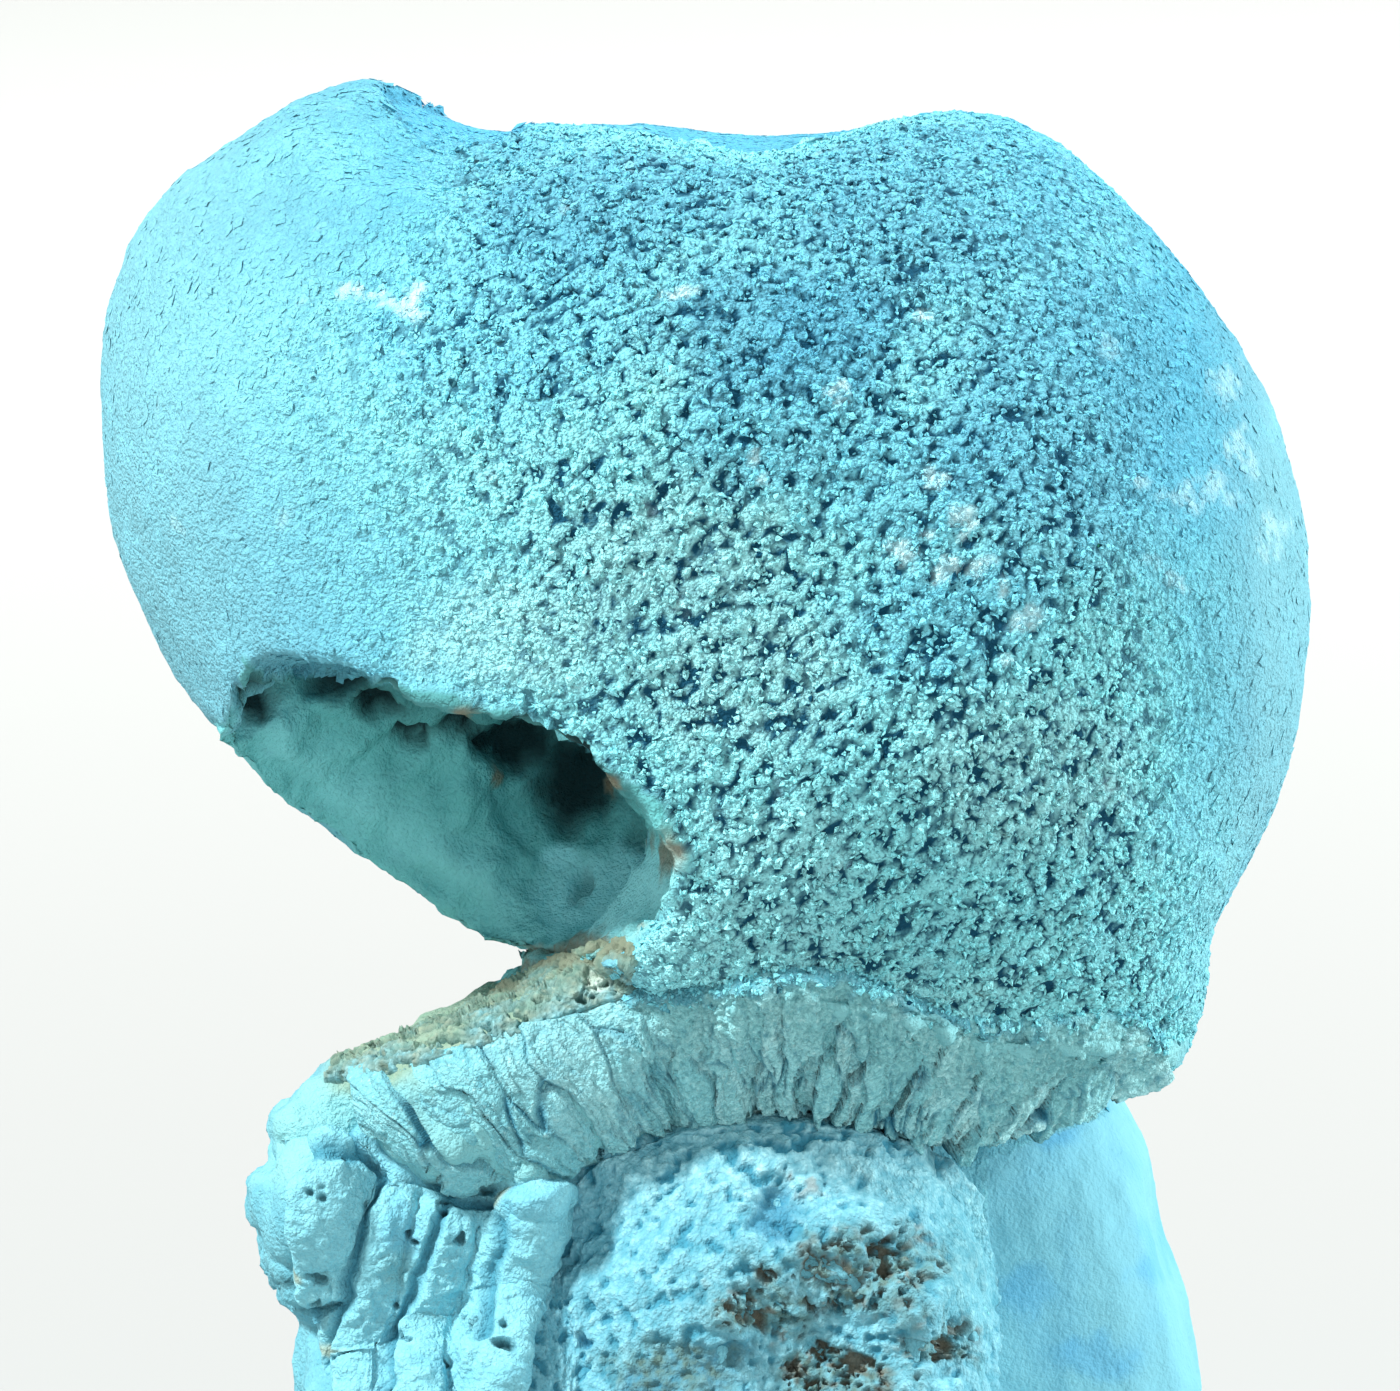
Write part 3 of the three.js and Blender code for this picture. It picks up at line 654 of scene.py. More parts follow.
def ground_under(parts):
    """The ground that the parts make: rays from the eye meet them or miss, and a place whose ray misses
    takes the mean of its neighbours, round by round."""
    p = np.concatenate([part[0] for part in parts])
    shift = np.cumsum([0] + [len(part[0]) for part in parts])
    quads = np.concatenate([part[2] + s for part, s in zip(parts, shift)])
    tree = BVHTree.FromPolygons(p.tolist(), quads.tolist())
    size = (GROUND_SIZE / GROUND_CELL).astype(int)
    eye = Vector(VIEW_AIM + VIEW_BACK * VIEW_DISTANCE)
    ticks = [GROUND_LOW[k] + np.arange(size[k]) * GROUND_CELL for k in (0, 1)]
    across, up = np.meshgrid(*ticks, indexing="ij")
    goal = VIEW_AIM + across[..., None] * np.array([1.0, 0, 0]) + up[..., None] * VIEW_UP
    hits = [tree.ray_cast(eye, (Vector(g) - eye).normalized())[0] for g in goal.reshape(-1, 3)]
    depth = np.array([np.nan if h is None else (np.array(h) - VIEW_AIM) @ VIEW_BACK for h in hits])
    depth = depth.reshape(size)
    while np.isnan(depth).any():
        near = np.stack([np.roll(depth, move, axis) for axis in (0, 1) for move in (-1, 1)])
        count = (~np.isnan(near)).sum(0)
        mean = np.nansum(near, 0) / np.maximum(count, 1)
        depth = np.where(np.isnan(depth) & (count > 0), mean, depth)
    return Ground(depth)


def foremost(*depths):
    """The greatest of several distances, with rounded meetings: the logarithm of the sum of powers."""
    keen = 6.0
    top = np.max(depths, axis=0)
    return top + np.log(sum(np.exp(keen * (d - top)) for d in depths)) / keen


def laid(name, ground, lines, counts, relief, finish, tuck, least=None, inward=1.0, rounds=(2, 8)):
    """A closed sheet over the stone. One parameter runs along its two lines, the other between them;
    each point takes the foremost of the stone eased a little, the stone eased more and a least distance,
    and then moves out by the relief. The sheet dips into the stone at its edges, and two rows of faces
    run from its long edges to a line inside the stone and close it."""
    m, n = counts
    u, v = (g.ravel() for g in np.meshgrid(np.linspace(0, 1, m), np.linspace(0, 1, n), indexing="ij"))
    at = along(lines[0], u) * (1 - v)[:, None] + along(lines[1], u) * v[:, None]
    depths = [ground.eased(r).read(at) for r in rounds]
    if least is not None:
        depths.append(least(at, v))
    p = stood(at, foremost(*depths))
    i, j = (g.ravel() for g in np.meshgrid(np.arange(m - 1), np.arange(n - 1), indexing="ij"))
    k = i * n + j
    quads = np.stack([k, k + n, k + n + 1, k + 1], -1)
    normal = corner_normals(p, quads)
    turned = normal.mean(0) @ VIEW_BACK < 0
    if turned:
        quads = quads[:, ::-1]
        normal = -normal
    height, fields = relief(at, u, v, p)
    grid = p.reshape(m, n, 3)
    wide = np.linalg.norm(np.diff(grid, axis=0), axis=2).sum(0).mean()
    high = np.linalg.norm(np.diff(grid, axis=1), axis=2).sum(1).mean()
    rim = np.minimum(np.minimum(u, 1 - u) * wide, np.minimum(v, 1 - v) * high)
    dip, width = tuck
    p = p + normal * (height - dip * (1 - step(0.0, width, rim)))[:, None]
    spine = grid.mean(1) - normal.reshape(m, n, 3).mean(1) * inward
    s = m * n + np.arange(m)
    i = np.arange(m - 1)
    j = np.arange(n - 1)
    sides = np.concatenate([
        np.stack([(i + 1) * n, i * n, s[i], s[i + 1]], -1),
        np.stack([i * n + n - 1, (i + 1) * n + n - 1, s[i + 1], s[i]], -1),
    ])
    ends = np.concatenate([
        np.stack([j, j + 1, np.full(n - 1, s[0])], -1),
        np.stack([(m - 1) * n + j + 1, (m - 1) * n + j, np.full(n - 1, s[-1])], -1),
    ])
    if turned:
        sides, ends = sides[:, ::-1], ends[:, ::-1]
    p = np.concatenate([p, spine])
    p[:, 2] = np.maximum(p[:, 2], SHEET_FOOT)
    middle = np.arange(m) * n + n // 2
    fields = {f: np.concatenate([values, values[middle]]) for f, values in fields.items()}
    piece(name, mesh_of(name, p, [quads, sides, ends], fields), finish)
    return p, corner_normals(p, quads), quads, fields


# Each sheet's two lines, across and up.
RIM_FOOT = [
    (-8.45, -10.91), (-7.25, -11.76), (-6.1, -12.51), (-4.9, -12.36), (-3.5, -12.11), (-2.75, -11.76),
    (-2.12, -11.56), (-0.93, -11.11), (0.75, -10.96), (2.5, -10.81), (3.75, -10.96), (5, -11.41),
    (5.88, -11.71), (6.5, -11.71), (7.5, -11.54), (8.75, -10.89), (10.5, -10.29), (11.8, -9.56),
]
RIM_TOP = [
    (-8.7, -9.46), (-7.5, -9.16), (-6.33, -8.81), (-5, -8.36), (-3.77, -8.04), (-2.62, -7.71),
    (-1.77, -7.36), (-1.2, -7.24), (-0.3, -7.41), (0.5, -7.16), (1.1, -7.06), (2.4, -6.86),
    (3.75, -6.91), (4.62, -7.24), (5.75, -7.71), (6.75, -7.99), (7.9, -8.16), (9.1, -8.04),
    (10.9, -7.91), (11.3, -8.36), (11.7, -8.61),
]
JAW_FOOT = [
    (-9.45, -9.76), (-7.9, -9.56), (-6.5, -9.16), (-4.7, -8.66), (-3.6, -8.26), (-2.5, -7.86),
    (-1.5, -7.56),
]
JAW_CREST = [
    (-9.2, -9.16), (-8.4, -8.86), (-7.7, -8.61), (-6.9, -8.31), (-5.95, -7.91), (-5, -7.36),
    (-3.85, -6.66), (-2.45, -6.16), (-1.5, -6.01),
]
FOLDS_LEFT = [
    (-9.05, -9.31), (-9.7, -10.11), (-10.1, -10.81), (-10.1, -11.61), (-10.65, -12.26), (-10.7, -13.24),
    (-10.45, -14.11), (-10.45, -14.86), (-9.9, -15.61), (-9.7, -17.39), (-9.65, -18.74),
]
FOLDS_RIGHT = [
    (-2.35, -11.36), (-2.5, -11.86), (-2.95, -12.61), (-3.25, -13.61), (-3.6, -14.86), (-4.05, -15.86),
    (-4.35, -17.39), (-4.45, -18.74),
]
BUD_FOOT = [(-4.8, -23.99), (7.25, -23.99)]
BUD_TOP = [
    (-4.4, -15.86), (-4.2, -14.36), (-3.7, -12.99), (-3.12, -11.96), (-2.45, -11.29), (-0.9, -10.7),
    (0.75, -10.5), (2.55, -10.4), (4.33, -10.65), (5.28, -11.05), (6.12, -11.4), (6.8, -12.3),
    (7.17, -13.74), (7.25, -15.86),
]

# Across, and how far the rim stands before the sight plane at its foot and at its top.
RIM_OUT = [
    (-8.7, 5.0, 5.4), (-6.7, 5.4, 7.2), (-3.8, 5.8, 7.6), (-1.9, 5.4, 8.0), (-0.9, 5.3, 8.9),
    (1.0, 5.5, 10.1), (3.1, 5.4, 10.0), (5.0, 4.7, 9.2), (6.1, 4.2, 8.5), (7.9, 3.3, 7.7),
    (9.0, 2.9, 7.1), (9.9, 2.4, 6.5), (10.9, 1.9, 5.4), (11.8, 1.6, 3.2),
]
# Up, and how far the folds stand before it.
FOLDS_OUT = [(-18.6, 4.9), (-16.5, 5.2), (-14.5, 5.8), (-13.2, 6.1), (-12.3, 5.8), (-11.0, 5.7)]
CREASES = [  # the cracks between the folds
    [(-7.9, -12.14), (-8.35, -12.99), (-8.65, -14.14), (-8.82, -15.14), (-9.05, -15.99), (-9.25, -17.39)],
    [(-6.28, -12.56), (-6.8, -13.84), (-7.25, -14.99), (-7.47, -15.84), (-7.62, -17.39), (-7.65, -18.61)],
    [(-4.8, -13.24), (-5, -14.11), (-5.12, -15.11), (-5.3, -16.11)],
    [(-8.2, -10.99), (-7.05, -11.84), (-6.05, -12.71)],
    [(-8.9, -10.11), (-8.85, -10.86), (-8.7, -11.56), (-7.9, -12.14)],
    [(-10.55, -11.76), (-9.75, -11.61), (-8.7, -11.56)],
    [(-5.0, -12.8), (-5.35, -12.76), (-6.05, -12.71)],
    [(-10.18, -15.34), (-8.9, -15.19)],
]

# Spots on the folds, the bud and the jaw.
FOLD_TAN = [(-4.85, -12.41, 0.3, 0.3), (-9.1, -16.41, 0.6, 0.25), (-10, -14.31, 0.25, 0.25)]
FOLD_GREY = [(-7.6, -14.26, 0.65, 0.65), (-6.75, -15.71, 0.5, 0.25), (-5.75, -11.11, 2, 1)]
BUD_PORES = [
    (4.2, -14.4, 2.8, 1.5), (1.6, -15.3, 1.9, 1.2), (5.9, -16.3, 1.0, 1.1), (3.2, -17.2, 2.4, 1.4),
]
BUD_MURK = [(-0.6, -16.9, 2.4, 1.2)]
BUD_BLUE = [
    (0.0, -16.7, 1.4, 0.9), (-1.1, -17.3, 1.2, 0.8), (2.0, -13.2, 0.8, 0.9), (-2.7, -16.1, 0.5, 0.4),
]
BUD_RIM = [(6.4, -14.0, 1.1, 3.4), (5.2, -12.3, 1.6, 0.8)]
BUD_TUFT = [(2.65, -12.35, 0.55, 0.45)]
JAW_RUST = [(-3.5, -6.66, 1.5, 0.35), (-2, -6.31, 1, 0.35), (-5, -7.41, 1, 0.3)]
JAW_DRUSE = [(-2.55, -7.21, 0.5, 0.4)]


def rim_least(at, v):
    """The rim's own distance: from its foot's to its top's, a little hollow between them."""
    x, foot, top = np.array(RIM_OUT).T
    return np.interp(at[:, 0], x, foot) * (1 - v) + np.interp(at[:, 0], x, top) * v - 0.5 * v * (1 - v)


def fold_least(at, v):
    """The folds' own distance: it falls towards the foot, on the left of the stem and at its right end."""
    across, up = at.T
    last = back(at, FOLDS[3][0], 1.1) * step(-17.5, -13.5, up)
    depth = line_at(FOLDS_OUT, up) - 1.8 * (1 - step(-10.4, -8.6, across)) - 0.6 * step(-3.8, -2.6, across)
    return depth + 0.75 * last - 2.0 * (1 - step(-18.4, -16.8, up))


def bud_least(at, v):
    """The bud's own distance: a round back about its middle line, lower along its top and its foot."""
    off = at[:, 0] - 1.5
    side = np.where(off > 0, 0.12, 0.045) * off ** 2
    return 6.6 - side - 0.6 * step(-12.0, -11.0, at[:, 1]) - 3.0 * (1 - step(-18.0, -14.5, at[:, 1]))


def fibre_relief(at, u, v, p):
    """Splinters side by side, each a flat tilted face in the fan: broad slabs on the left, blocks and
    slim columns in the middle and on the right, chips on all of them, dark cracks between some, and a
    fringe of ends at the foot; towards the crust and on the right they end in crumbs."""
    way = fanned(at) + drift(p, 1.1, (86, 80), 2) * (0.16, 0.3)
    left = 1 - step(0.2, 0.5, u + noise(p, 1.2, 79) * 0.06)
    part = step(-0.1, 0.5, layered(p, 1.2, 87, 2))
    slab, slab_gap, slab_own = facets(way / (0.9, 6.0), 81)
    block, block_gap, block_own = facets(way / (0.56, 1.7), 82)
    slim, slim_gap, slim_own = facets(way / (0.25, 1.0), 83)
    chip, _, chip_own = facets(way / (0.12, 0.3), 89)
    crumbs = grained(p + noise(p, 0.3, 84)[:, None] * 0.05, 0.16, 84)[0]
    top = step(0.45, 0.8, v + 0.2 * step(0.6, 0.85, u) + layered(p, 0.8, 85, 2) * 0.2)
    top = top * step(0.24, 0.4, u)
    height = 0.2 + slab * 0.38 * left + block * 0.38 * (1 - left) * (1 - 0.6 * top)
    height += slim * (0.12 - 0.03 * left) * (1 - 0.6 * top) + chip * 0.045 * (1 - 0.3 * left)
    broad = (1 - step(0.0, 0.09, slab_gap)) * left
    crack = np.maximum(broad, (1 - step(0.0, 0.13, block_gap)) * (1 - left))
    notch = (1 - step(0.0, 0.25, slim_gap)) * part * (1 - 0.6 * left)
    crack = np.maximum(crack * (0.3 + 0.7 * part), notch * 0.7) * (1 - 0.8 * top)
    height += (0.6 + 0.9 * top - 0.4 * left) * 0.10 * (0.6 - crumbs) - 0.15 * crack
    height += top * layered(p, 0.35, 88, 3) * 0.10
    height -= 0.45 * (1 - step(0.0, 0.03, v - 0.10 * block_own - 0.05 * slim_own))
    edge = line_at(CRUST_EDGE, at[:, 0])
    velvet = step(-0.15, 0.35, at[:, 1] - edge + layered(p, 0.5, 34, 2) * 0.4)
    tone = (slab_own * left + block_own * (1 - left)) * 0.55 + slim_own * 0.25 + chip_own * 0.2
    crumb = np.clip(1.3 - crumbs * 1.3, 0, 1)
    return height, dict(cracks=crack, top=top, crumb=crumb, tone=tone, left=left, velvet=velvet)


def sugared(p, size, seed):
    """Packed grains of two sizes: round heads, each at its own height."""
    first, _, own = grained(p, size, seed)
    finer, _, other = grained(p, size * 0.45, seed + 1)
    head = np.clip(1.1 - first, 0, 1) * (0.5 + 0.5 * own)
    return head * 0.7 + np.clip(1.1 - finer, 0, 1) * 0.3 * (0.4 + 0.6 * other)


def fold_relief(at, u, v, p):
    """The folds' skin: a round back on each fold, lumps, cracks along the lines between the folds, faint
    lines across, a sugary grain all over, and a few pits."""
    moved = at + drift(p, 0.7, (89, 90), 2) * 0.10
    widths = [0.22 + 0.05 * (k % 3) for k in range(len(CREASES))]
    crack = np.max([1 - step(0.0, w, away_from(moved, c)) for c, w in zip(CREASES, widths)], axis=0)
    lumps = layered(p, 1.1, 91) * 0.12 + np.abs(layered(p, 0.6, 92, 2)) * 0.10
    leaf = np.max([back(moved, line, half) ** 0.6 for line, half, _ in FOLDS[:4]], axis=0)
    skin = sugared(p, 0.2, 93)
    lines = 0.005 * np.sin(at[:, 1] * math.tau / 0.2 + layered(p, 0.8, 94) * 3)
    pore = np.maximum(spots(moved, STEM_PITS), step(0.62, 0.9, layered(p, 0.5, 95, 2)) * 0.8)
    height = 0.12 + lumps + 0.35 * leaf + skin * 0.07 + lines - 0.35 * crack - 0.35 * pore
    height += layered(p, 0.3, 98) * 0.05
    height -= 0.7 * step(-0.15, 0.2, at[:, 1] - line_at(RIM_FOOT, at[:, 0]))
    height -= 0.8 * (1 - step(0.0, 0.09, v))
    blue = step(0.15, 0.8, layered(p, 1.6, 97))
    return height, dict(
        rise=np.clip(skin * 1.1, 0, 1), crack=crack, pore=pore, blue=blue,
        grey=spots(moved, FOLD_GREY), tan=spots(moved, FOLD_TAN),
    )


def bud_relief(at, u, v, p):
    """Sugary heads, rotten with brown pores in the middle and on the right, and smooth along its rim."""
    moved = at + drift(p, 0.9, (101, 102)) * 0.45
    rotten = spots(moved, BUD_PORES)
    blue = spots(moved, BUD_BLUE)
    calm = spots(moved, BUD_RIM) * (1 - rotten)
    tuft = spots(moved, BUD_TUFT) * step(-0.3, 0.3, layered(p, 0.35, 118, 2))
    skin = sugared(p, 0.26, 103)
    lumps = layered(p, 1.2, 104) * 0.20
    first, _, own = grained(p + drift(p, 0.3, (110, 111, 112)) * 0.28, 0.52, 105)
    pit = np.clip(1 - first / (0.35 + 0.35 * own), 0, 1)
    holes = step(0.0, 0.4, pit) * step(0.4, 0.75, rotten + 0.2 * layered(p, 0.6, 108, 2))
    loose = step(0.2, 0.55, layered(p, 0.45, 106)) * (1 - calm)
    height = 0.25 + lumps + skin * (0.18 - 0.12 * calm) - 0.35 * holes - 0.12 * loose - 0.25 * blue
    height -= (1 - step(0.0, 0.09, v)) + 0.7 * step(0.94, 1.0, u)
    height += tuft * sugared(p, 0.16, 107) * 0.22 + rotten * layered(p, 0.35, 109, 2) * 0.08
    rise = np.clip(skin * 1.2 - loose * 0.6, 0, 1)
    brown = np.clip(holes * (own > 0.15) + rotten * step(0.3, 0.7, layered(p, 0.5, 116, 2)) * 0.8, 0, 1)
    rusty = np.maximum(tuft * 0.7, rotten * step(0.35, 0.6, layered(p, 0.4, 117, 2)) * (own > 0.5))
    # crest: painted light along the top, where the rim's shadow falls
    return height, dict(
        rise=rise, pore=brown, blue=np.maximum(blue, loose * 0.4), pale=calm, tan=rusty,
        murk=spots(moved, BUD_PORES + BUD_MURK), crest=step(-13.6, -11.6, at[:, 1]),
    )


def jaw_relief(at, u, v, p):
    """The jaw's rusty top: coarse crumbs with small pits and a pocket of bright grains."""
    skin = sugared(p, 0.15, 111)
    druse = spots(at, JAW_DRUSE)
    pit = step(0.2, 0.5, layered(p, 0.4, 112))
    height = 0.14 + skin * (0.20 + 0.2 * druse) - 0.22 * pit - 0.25 * druse + layered(p, 0.8, 113) * 0.12
    rust = spots(at + noise(p, 0.6, 114)[:, None] * 0.2, JAW_RUST)
    rise = np.clip(skin * 1.2 - pit * 0.4, 0, 1)
    tan = step(-0.2, 0.6, v - 0.25 + noise(p, 0.8, 115) * 0.4)
    return height, dict(rise=rise, rust=rust, druse=druse, tan=tan)


# ---------------------------------------------------------------- velvet grains

VELVET_FIELDS = ("frost", "deep", "grey", "lobe", "pale", "azure_and_ridge_shade", "painted_light")
CRUMB_CORNERS = np.array([[0, 0, 1], [1, 0, 0], [0, 1, 0], [-1, 0, 0], [0, -1, 0], [0, 0, -1]], float)
CRUMB_FACES = np.array([
    [0, 1, 2], [0, 2, 3], [0, 3, 4], [0, 4, 1], [5, 2, 1], [5, 3, 2], [5, 4, 3], [5, 1, 4],
])


def scattered(p, quads, fields, spacing):
    """Points over a net, none closer than the spacing, where the field "cover" is 1: their places,
    outward directions and fields. The net is as large in metres as the stone in millimetres."""
    helper = added("ground", mesh_of("ground", p / MM, quads, fields))
    tree = bpy.data.node_groups.new("scatter", "GeometryNodeTree")
    for way in ("INPUT", "OUTPUT"):
        tree.interface.new_socket(name="Geometry", in_out=way, socket_type="NodeSocketGeometry")
    start = tree.nodes.new("NodeGroupInput")
    end = tree.nodes.new("NodeGroupOutput")
    spread = tree.nodes.new("GeometryNodeDistributePointsOnFaces")
    spread.distribute_method = "POISSON"
    spread.inputs["Distance Min"].default_value = spacing
    spread.inputs["Density Max"].default_value = CLOSENESS / spacing**2
    spread.inputs["Seed"].default_value = SCATTER_SEED
    cover = tree.nodes.new("GeometryNodeInputNamedAttribute")
    cover.data_type = "FLOAT"
    cover.inputs["Name"].default_value = "cover"
    keep = tree.nodes.new("GeometryNodeStoreNamedAttribute")
    keep.data_type = "FLOAT_VECTOR"
    keep.domain = "POINT"
    keep.inputs["Name"].default_value = "outward"
    dots = tree.nodes.new("GeometryNodePointsToVertices")
    for output, socket in (
        (start.outputs[0], spread.inputs["Mesh"]),
        (cover.outputs["Attribute"], spread.inputs["Density Factor"]),
        (spread.outputs["Points"], keep.inputs["Geometry"]),
        (spread.outputs["Normal"], keep.inputs["Value"]),
        (keep.outputs["Geometry"], dots.inputs["Points"]),
        (dots.outputs["Mesh"], end.inputs[0]),
    ):
        tree.links.new(output, socket)
    helper.modifiers.new("scatter", "NODES").node_group = tree
    made = settled(helper)
    bpy.data.node_groups.remove(tree)
    at = values_of(made.vertices, "co", 3).astype(float)
    outward = values_of(made.attributes["outward"].data, "vector", 3).astype(float)
    found = {f: values_of(made.attributes[f].data, "value", 1)[:, 0].astype(float) for f in fields}
    return at, outward, found


def crumb_arrays(at, up, wide, tall, lean, rng):
    """An eight-sided crumb on each place: its waist corners moved in and out and up and down at random,
    its top moved aside, stretched to its width and height, and stood along its leaning direction."""
    count = len(at)
    up = up + rng.normal(0, 1, (count, 3)) * lean[:, None]
    up /= np.linalg.norm(up, axis=1, keepdims=True)
    side = np.cross(up, rng.normal(0, 1, (count, 3)))
    side /= np.linalg.norm(side, axis=1, keepdims=True)
    other = np.cross(up, side)
    corner = CRUMB_CORNERS[None] * (1 + rng.uniform(-0.3, 0.4, (count, len(CRUMB_CORNERS), 1)))
    corner[:, 1:5, 2] += rng.uniform(-0.2, 0.65, (count, 4))
    corner[:, 0, :2] += rng.uniform(-0.35, 0.35, (count, 2))
    oval = rng.uniform(0.7, 1.4, (count, 1, 1))
    p = at[:, None] + (
        corner[..., 0:1] * side[:, None] * wide[:, None, None] * oval
        + corner[..., 1:2] * other[:, None] * wide[:, None, None] / oval
        + corner[..., 2:3] * up[:, None] * tall[:, None, None]
    )
    tip = np.clip((corner[..., 2] + 1) / 2, 0, 1)
    return p.reshape(-1, 3), tip.ravel()


def velvet_places(parts):
    """Where crumbs may grow: their places, outward directions and fields, "size" the spacing there."""
    places, outs, found = [], [], {}
    for p, n, quads, fields in parts:
        held = {k: fields.get(k, np.zeros(len(p))) for k in VELVET_FIELDS}
        ledge = (n[:, 2] > 0.1) & (p[:, 2] < LEDGE_TOP) & (p[:, 1] < 0)
        held["azure_and_ridge_shade"] = np.where(ledge, LEDGE_AZURE, held["azure_and_ridge_shade"])
        held["painted_light"] = np.where(ledge, 0.0, held["painted_light"])
        grown = (fields["velvet"] > 0.4) & (held["lobe"] <= 0.5)
        ahead = n @ VIEW_BACK > -0.1
        rough = coarse(p) > COARSE_FROM
        for spacing, zone in zip(SPACINGS, (ahead & rough, ahead & ~rough, ~ahead)):
            cover = np.where(grown & zone, 1.0, 0.0)
            if cover.sum() < FEWEST:
                continue
            at, up, got = scattered(p, quads, {**held, "cover": cover}, spacing)
            places.append(at)
            outs.append(up)
            got["size"] = np.full(len(at), spacing)
            for field, values in got.items():
                found.setdefault(field, []).append(values)
    found = {field: np.concatenate(values) for field, values in found.items()}
    return np.concatenate(places), np.concatenate(outs), found


def velvet(parts, finish):
    """The velvet: crumbs over the ball, small and close on the coarse stripe, wider apart on the fine
    parts, wider still behind, and fewer in the gaps between the clumps."""
    rng = np.random.default_rng(CRUMB_SEED)
    at, up, found = velvet_places(parts)
    mass = clumped(at)
    strong = coarse(at) * (1 - 0.6 * found["frost"])
    chance = rng.uniform(0, 1, len(at))
    scant = np.where(at[:, 1] < 3.0, np.clip((strong - 0.02) * 9.0, 0, 1), 1.0)
    keep = (chance > (0.85 - mass * 2.0) * strong) & (chance < scant + 0.02)
    at, up, mass, strong = at[keep], up[keep], mass[keep], strong[keep]
    found = {field: values[keep] for field, values in found.items()}
    size = found["size"]
    count = len(at)
    wide = size * np.clip(rng.lognormal(-0.2, 0.27, count), 0.5, 1.4)
    tall = wide * rng.uniform(0.7, 1.25, count) * (0.12 + 0.88 * np.minimum(strong * 1.3, 1))
    lift = size * rng.normal(-0.1, 0.31, count) * strong + 0.16 * (mass - 0.7) * strong
    p, tip = crumb_arrays(at + up * lift[:, None], up, wide, tall, 0.03 + 0.37 * strong, rng)
    corners = len(CRUMB_CORNERS)
    fields = {k: np.repeat(found[k], corners) for k in VELVET_FIELDS}
    fields["tip"] = tip
    foot = np.repeat(at, corners, 0)
    stands = np.repeat(up, corners, 0)
    fields["mass"] = clumped(p - stands * np.sum((p - foot) * stands, 1)[:, None])
    fields["coarse"] = np.repeat(strong, corners)
    fields["tone"] = np.repeat(rng.uniform(0, 1, count), corners)
    seen = sighted(at)
    for field, places in (("speck", SPECKS), ("moss", MOSS)):
        fields[field] = np.repeat(spots(seen, places) * (at[:, 1] < 0), corners)
    order = np.argsort(np.arctan2(at[:, 0] - BALL_CENTRE[0], -(at[:, 1] - BALL_CENTRE[1])))
    for k, group in enumerate(np.array_split(order, math.ceil(count / GRAINS_IN_PIECE))):
        pick = (group[:, None] * corners + np.arange(corners)).ravel()
        faces = CRUMB_FACES[None] + (np.arange(len(group)) * corners)[:, None, None]
        name = f"velvet_grains_{k + 1}"
        mesh = mesh_of(name, p[pick], faces.reshape(-1, 3), {f: v[pick] for f, v in fields.items()})
        mesh.polygons.foreach_set("use_smooth", np.zeros(len(mesh.polygons), bool))
        piece(name, mesh, finish)


# ---------------------------------------------------------------- finishes

HEAD_WANDER = 0.35  # how far a head is moved about, as a share of its size
HEAD_REACH = 1.15
VELVET_LIGHT = (0.34, 0.95, 1.0)
VELVET_MID = (0.13, 0.58, 0.74)
# painted shade down in the velvet's gaps and at the grains' feet
VELVET_GAP_SHADE = (0.003, 0.065, 0.12)
# azure patches, and the painted shade of the ridge
AZURE_AND_RIDGE_SHADE = (0.085, 0.39, 0.60)
FINE_PALE = (0.19, 0.475, 0.56)
FINE_BLUE = (0.075, 0.35, 0.49)
FROST_PALE = (0.54, 0.83, 0.86)
GREY_TEAL = (0.44, 0.88, 0.88)
DEEP_BLUE = (0.11, 0.56, 0.82)
LOBE_BLUE = (0.19, 0.50, 0.60)
MOUTH_TEAL = (0.11, 0.44, 0.45)
# painted light in the mouth
MOUTH_PAINTED_LIGHT = (0.33, 0.84, 0.90)
# painted shade in the throat and the pits
THROAT_SHADE = (0.006, 0.03, 0.035)
RUST = (0.19, 0.21, 0.14)
OLIVE = (0.22, 0.36, 0.27)
RIM_GREY = (0.25, 0.59, 0.61)
FIBRE_PALE = (0.30, 0.70, 0.74)
# paler splinters, and the painted glints
FIBRE_PALE_AND_GLINT = (0.50, 0.84, 0.85)
FIBRE_BLUE = (0.17, 0.52, 0.61)
# duller splinters, and the painted shade between the crumbs
FIBRE_DULL_AND_SHADE = (0.08, 0.28, 0.32)
FIBRE_CRACK_SHADE = (0.03, 0.20, 0.30)
FOLD_PALE = (0.15, 0.44, 0.53)
FOLD_LIGHT = (0.22, 0.55, 0.63)
FOLD_SHADE = (0.08, 0.33, 0.44)
SUGAR_PALE = (0.38, 0.74, 0.81)
SUGAR_GAP_SHADE = (0.06, 0.30, 0.40)
BLUE_POCKET = (0.03, 0.21, 0.34)
PORE_BROWN = (0.075, 0.09, 0.07)
TAN = (0.31, 0.37, 0.27)
# painted light for the velvet's shaded lower middle
VELVET_PAINTED_LIGHT = (0.42, 0.96, 1.0)
